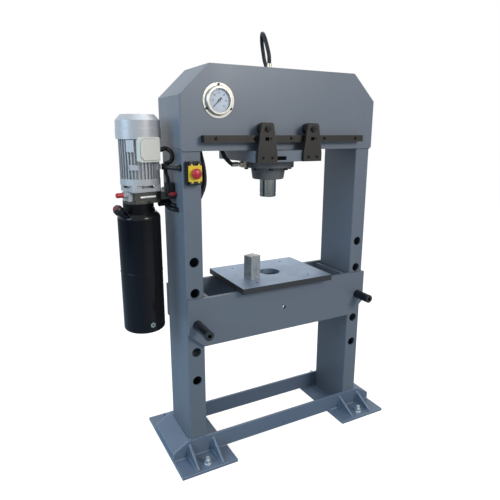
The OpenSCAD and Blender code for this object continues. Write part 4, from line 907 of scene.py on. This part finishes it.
# The pale blue edges of the feet and the base bars are partly wear and partly a painted highlight.
add_finish("foot paint", (98, 110, 126), (86, 100, 118), worn=(172, 186, 202), rough=(0.3, 0.42),
           wear=1.0, wear_width=0.004, worn_metal=0.0, fine=700, bump=0.12)
add_finish("bar paint", (98, 110, 126), (86, 100, 118), worn=(172, 186, 202), rough=(0.3, 0.42),
           wear=0.7, wear_width=0.0022, worn_metal=0.0, fine=700, bump=0.12)
add_finish("cylinder paint", (95, 94, 94), (84, 84, 84), worn=(140, 144, 148), rough=(0.34, 0.46),
           wear=0.3, wear_width=0.0012, fine=700, bump=0.12)
# The tank's upright brown streaks, drawn out by the stretched mask, are painted reflections.
add_finish("tank lacquer", (5, 8, 16), (26, 23, 22), worn=(60, 62, 64), rough=(0.12, 0.2),
           specular=0.22, stain_scale=12, stretch=0.02, contrast=2.2, wear=0.1, bump=0.03)
add_finish("silver paint", (180, 178, 178), (160, 160, 162), worn=(222, 222, 220),
           rough=(0.3, 0.42), metal=0.25, stain_scale=14, bump=0.12)
add_finish("box paint", (212, 207, 196), (200, 195, 184), worn=(216, 215, 210), rough=(0.4, 0.5),
           wear=0.3, worn_metal=0.0, bump=0.06)
print(len(finishes), "paints")

# %% [markdown]
# The steels run from blued and oxidised black to bright chrome. A dark oxide is only partly
# metallic, while ground and turned faces are nearly all metal and show their grain as soft stains.

# %% Steels
add_finish("burnished steel", (54, 52, 49), (42, 41, 40), worn=(140, 134, 126),
           rough=(0.38, 0.55), metal=0.75, wear=0.5, bump=0.06)
add_finish("black oxide", (22, 22, 24), (14, 14, 16), worn=(110, 108, 104), rough=(0.32, 0.45),
           metal=0.4, specular=0.35, wear=0.3, bump=0.05)
add_finish("blued bar", (14, 17, 26), (22, 25, 34), worn=(96, 104, 116), rough=(0.2, 0.36),
           metal=0.3, specular=0.6, stain_scale=30, wear=0.7, wear_width=0.0016, bump=0.06)
add_finish("cut steel", (60, 62, 60), (44, 46, 46), rough=(0.35, 0.5), metal=0.5,
           stain_scale=60, bump=0.08)
add_finish("block steel", (98, 96, 90), (62, 61, 58), worn=(176, 174, 168), rough=(0.3, 0.42),
           metal=0.8, stain_scale=20, wear=0.5)
add_finish("ground steel", (158, 170, 186), (132, 144, 160), worn=(196, 202, 208),
           rough=(0.26, 0.42), metal=0.9, stain_scale=9, bump=0.05)
add_finish("plate steel", (158, 173, 192), (132, 147, 166), worn=(196, 202, 208),
           rough=(0.4, 0.54), metal=0.85, stain_scale=9, bump=0.05)
add_finish("scaled steel", (196, 198, 200), (128, 128, 126), worn=(206, 206, 200),
           rough=(0.34, 0.55), metal=0.85, stain_scale=34, stretch=0.8, contrast=2.6, wear=0.7,
           fine=400, bump=0.25)
add_finish("bright steel", (232, 228, 220), (214, 210, 200), rough=(0.3, 0.4), metal=0.6, bump=0.05)
add_finish("cast iron", (70, 70, 72), (60, 60, 62), rough=(0.5, 0.65), metal=0.6, bump=0.3)
print(len(finishes), "finishes with the steels")

# %% [markdown]
# The plated parts and the fittings are paler. The ram's chrome has tall, narrow streaks painted
# into
# its colour: painted reflections, as a polished rod shows where it mirrors the things around it.

# %% Plating and brass
add_finish("chrome", (204, 206, 202), (134, 134, 128), rough=(0.10, 0.22), metal=1.0,
           stain_scale=60, stretch=0.02, contrast=2.6, bump=0.0)
add_finish("zinc", (194, 202, 208), (168, 176, 182), worn=(214, 216, 216), rough=(0.3, 0.5),
           metal=0.9, stain_scale=30, bump=0.05)
add_finish("brass plate", (182, 176, 162), (150, 144, 130), worn=(212, 210, 202),
           rough=(0.2, 0.35), metal=1.0, stain_scale=30, bump=0.04)
add_finish("pale brass", (182, 179, 170), (162, 159, 150), worn=(208, 206, 200),
           rough=(0.26, 0.38), metal=0.6, stain_scale=14, bump=0.03)
print(len(finishes), "finishes with the plating")

# %% [markdown]
# Rubber is duller than moulded plastic and has a finer grain. The coloured plastics are plain and
# a little glossy, and the dial is matt, so that its marks can be read from any side.

# %% Rubber, plastic and print
add_finish("black rubber", (10, 12, 20), (17, 19, 28), rough=(0.4, 0.55), specular=0.28, fine=1500)
# The grey of the line round the lid is painted shade.
add_finish("grey gasket", (96, 95, 90), rough=(0.5, 0.6), bump=0.03)
add_finish("black plastic", (16, 17, 20), (22, 23, 26), rough=(0.32, 0.48), specular=0.4, fine=1200)
# This black stands for the shade inside the carriage's slot: painted shade.
add_finish("slot black", (7, 7, 9), rough=(0.7, 0.8), specular=0.05, bump=0.03)
add_finish("cover plastic", (228, 192, 48), (218, 180, 40), rough=(0.3, 0.4), bump=0.03)
add_finish("red plastic", (176, 36, 44), (160, 30, 38), rough=(0.25, 0.36), bump=0.03)
add_finish("dark red plastic", (96, 26, 34), (80, 22, 28), rough=(0.3, 0.45), bump=0.05)
add_finish("green plastic", (30, 120, 62), (26, 106, 54), rough=(0.3, 0.4), bump=0.03)
add_finish("dial white", (230, 234, 244), (222, 226, 236), rough=(0.45, 0.55), bump=0.0)
add_finish("pointer black", (14, 14, 15), rough=(0.35, 0.4), bump=0.0)
print(len(finishes), "finishes with the rubber and plastic")

# %% [markdown]
# ## Three finishes with a second colour
# Three solids have two colours on one piece. A mask says where the second colour lies. It is made
# from the piece's own coordinates, so it stays in place when the piece moves, and one helper lays
# the colour over whatever the finish already had.

# %% A second colour where a mask says
def lay_over(name, tone, mask):
    """Lays a tone over the named finish wherever the mask, a socket of its tree, is 1."""
    tree = finishes[name].node_tree
    base = tree.nodes["Principled BSDF"].inputs["Base Color"]
    under = base.links[0].from_socket
    laid = node(tree, "Mix", data_type="RGBA")
    laid.inputs[7].default_value = linear(*tone)
    wire(tree, mask, laid.inputs[0])
    wire(tree, under, laid.inputs[6])
    wire(tree, laid.outputs[2], base)
    print(name, "has a second colour", tone)


def apart(tree, vector):
    """A node that gives a vector's X, Y and Z one by one."""
    made = node(tree, "SeparateXYZ")
    wire(tree, vector, made.inputs[0])
    return made


# %% [markdown]
# The lower part of the block under the motor is black, up to a sharp line. The block is one solid
# with one material, so its height decides: a Map Range node over one millimetre gives the line.

# %% The block's black foot
block_line = 1.148
tree = finishes["block steel"].node_tree
place = apart(tree, node(tree, "TexCoord").outputs["Object"])
below = node(tree, "MapRange")
below.inputs["From Min"].default_value = block_line - 0.0005
below.inputs["From Max"].default_value = block_line + 0.0005
below.inputs["To Min"].default_value, below.inputs["To Max"].default_value = 1, 0
wire(tree, place.outputs["Z"], below.inputs["Value"])
lay_over("block steel", (18, 19, 22), below.outputs[0])

# %% [markdown]
# The press plate is ground on its flat faces, and its flame-cut sides are dark. The mask takes
# the faces that look sideways, which their normal shows, and leaves out the bored hole in the
# middle, which is bright and lies within a known distance of the plate's centre.

# %% The press plate's dark sides
bored_r, steepest = 0.06, 0.4
tree = finishes["plate steel"].node_tree
place = node(tree, "TexCoord")
facing = apart(tree, place.outputs["Normal"])
sideways = maths(tree, "LESS_THAN", maths(tree, "ABSOLUTE", facing.outputs["Z"]), steepest)
level = node(tree, "VectorMath", operation="MULTIPLY")
level.inputs[1].default_value = (1, 1, 0)
wire(tree, place.outputs["Object"], level.inputs[0])
reach = node(tree, "VectorMath", operation="LENGTH")
wire(tree, level.outputs[0], reach.inputs[0])
past_bore = maths(tree, "GREATER_THAN", reach.outputs["Value"], bored_r)
lay_over("plate steel", (70, 70, 70), maths(tree, "MULTIPLY", sideways, past_bore))

# %% [markdown]
# The switch's cover is a yellow plate with four tabs in a black surround. The cover is one solid,
# so its material draws the outline: yellow up to a height, and past it only where a tab stands.

# %% The cover's yellow and black
switch_x, switch_z = -0.429, 1.272
body_half, tab_at, tab_half, tab_end = 0.030, 0.014, 0.004, 0.0365
tree = finishes["cover plastic"].node_tree
place = apart(tree, node(tree, "TexCoord").outputs["Object"])
across = maths(tree, "ABSOLUTE", maths(tree, "SUBTRACT", place.outputs["X"], switch_x))
height = maths(tree, "ABSOLUTE", maths(tree, "SUBTRACT", place.outputs["Z"], switch_z))
past_body = maths(tree, "GREATER_THAN", height, body_half)
past_tab = maths(tree, "GREATER_THAN", height, tab_end)
from_tab = maths(tree, "ABSOLUTE", maths(tree, "SUBTRACT", across, tab_at))
beside_tab = maths(tree, "GREATER_THAN", from_tab, tab_half)
outside = maths(tree, "MAXIMUM", maths(tree, "MULTIPLY", past_body, beside_tab), past_tab)
lay_over("cover plastic", (16, 17, 20), outside)

# %% [markdown]
# The gauge's glass is thin and flat, so it bends no light that matters. A low Alpha shows the dial
# through it, and the shader still adds the pane's own reflection.

# %% Clear glass
glass = bpy.data.materials.new("clear glass")
glass.use_nodes = True
pane = glass.node_tree.nodes["Principled BSDF"]
pane.inputs["Base Color"].default_value = (0.06, 0.08, 0.10, 1)
pane.inputs["Roughness"].default_value = 0.05
pane.inputs["IOR"].default_value = 1.3
pane.inputs["Alpha"].default_value = 0.1
finishes["clear glass"] = glass
print(len(finishes), "finishes")

# %% [markdown]
# ## Dressing
# Each CAD piece now gets its finish, and pieces that are alike in material and coat share one. It
# could be set piece by piece, but a table from finish to pieces can be read at a glance.

# %% Dress the CAD pieces
dressing = {
    "frame paint": "left_column right_column crown_plates crown_wrap carriage_plate "
                   "bed_front_plate bed_rear_plate bed_cross_plates",
    "foot paint": "foot_plates foot_stiffeners",
    "bar paint": "base_bars",
    "cylinder paint": "cylinder_body cylinder_flange gland",
    "burnished steel": "rails hanger_brackets",
    "black oxide": "frame_screws carriage_screws pump_bracket roller_axles "
                   "front_left_roller front_right_roller rear_left_roller rear_right_roller",
    "blued bar": "left_bed_pin right_bed_pin",
    "block steel": "manifold",
    "ground steel": "motor_rotor",
    "plate steel": "press_plate",
    "scaled steel": "steel_block",
    "pale brass": "gauge_bezel gauge_case",
    "chrome": "ram drain_plug",
    "brass plate": "port_fittings",
    "zinc": "anchor_bolts",
    "tank lacquer": "tank",
    "silver paint": "relief_valve bell_housing motor_body fan_cowl",
    "box paint": "terminal_box",
    "black rubber": "seals",
    "black plastic": "switch_box filler_cap cable_glands solenoid_valve",
    "cover plastic": "switch_cover",
    "red plastic": "stop_button valve_caps",
    "green plastic": "start_button",
    "dial white": "gauge_dial",
    "pointer black": "gauge_needle",
    "clear glass": "gauge_glass",
    "cast iron": "gear_pump",
}
for look, names in dressing.items():
    for name in names.split():
        slots = nodes[name].data.materials
        if not slots:
            slots.append(finishes[look])
        for k in range(len(slots)):
            slots[k] = finishes[look]
print("dressed", sum(len(names.split()) for names in dressing.values()), "CAD pieces")

# %% [markdown]
# The small parts get the finishes that were noted for them. The hoses and conduits stand for CAD
# pieces and were made before that list, so they are found by the ends of their names.

# %% Dress the small parts, hoses and conduits
for part, look in dressed_parts:
    part.data.materials.append(finishes[look])
for piece in bpy.data.objects:
    if piece.name.endswith("-hose"):
        piece.data.materials.append(finishes["black rubber"])
    if piece.name.endswith(("-conduit", "-lead")):
        piece.data.materials.append(finishes["black plastic"])
print("dressed", len(dressed_parts), "small parts")

# %% [markdown]
# ## Rounded edges
# No plate or casting has a perfectly sharp edge: a thin line of light runs along each one. Rounding
# every edge in the CAD model would make it heavy. A Bevel modifier adds it without touching the CAD
# mesh, wider on the cut plates of the frame and narrower on machined pieces.

# %% Bevel the CAD pieces
edge_widths = {
    0.0012: "crown_plates foot_plates base_bars bed_front_plate bed_rear_plate carriage_plate",
    0.0008: "press_plate steel_block rails hanger_brackets foot_stiffeners manifold relief_valve "
            "solenoid_valve terminal_box bell_housing pump_bracket",
}
for width, names in edge_widths.items():
    for name in names.split():
        bevel = nodes[name].modifiers.new("edge", "BEVEL")
        bevel.width = width
        bevel.segments = 2
        bevel.limit_method = "ANGLE"
        bevel.angle_limit = math.radians(35)
        bevel.harden_normals = False
    print(len(names.split()), "pieces with edges of", 1000 * width, "mm")

# %% [markdown]
# ## The end
# The size of the press, with its dressing, is measured at the end.

# %% Measure and finish
import json

low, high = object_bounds()
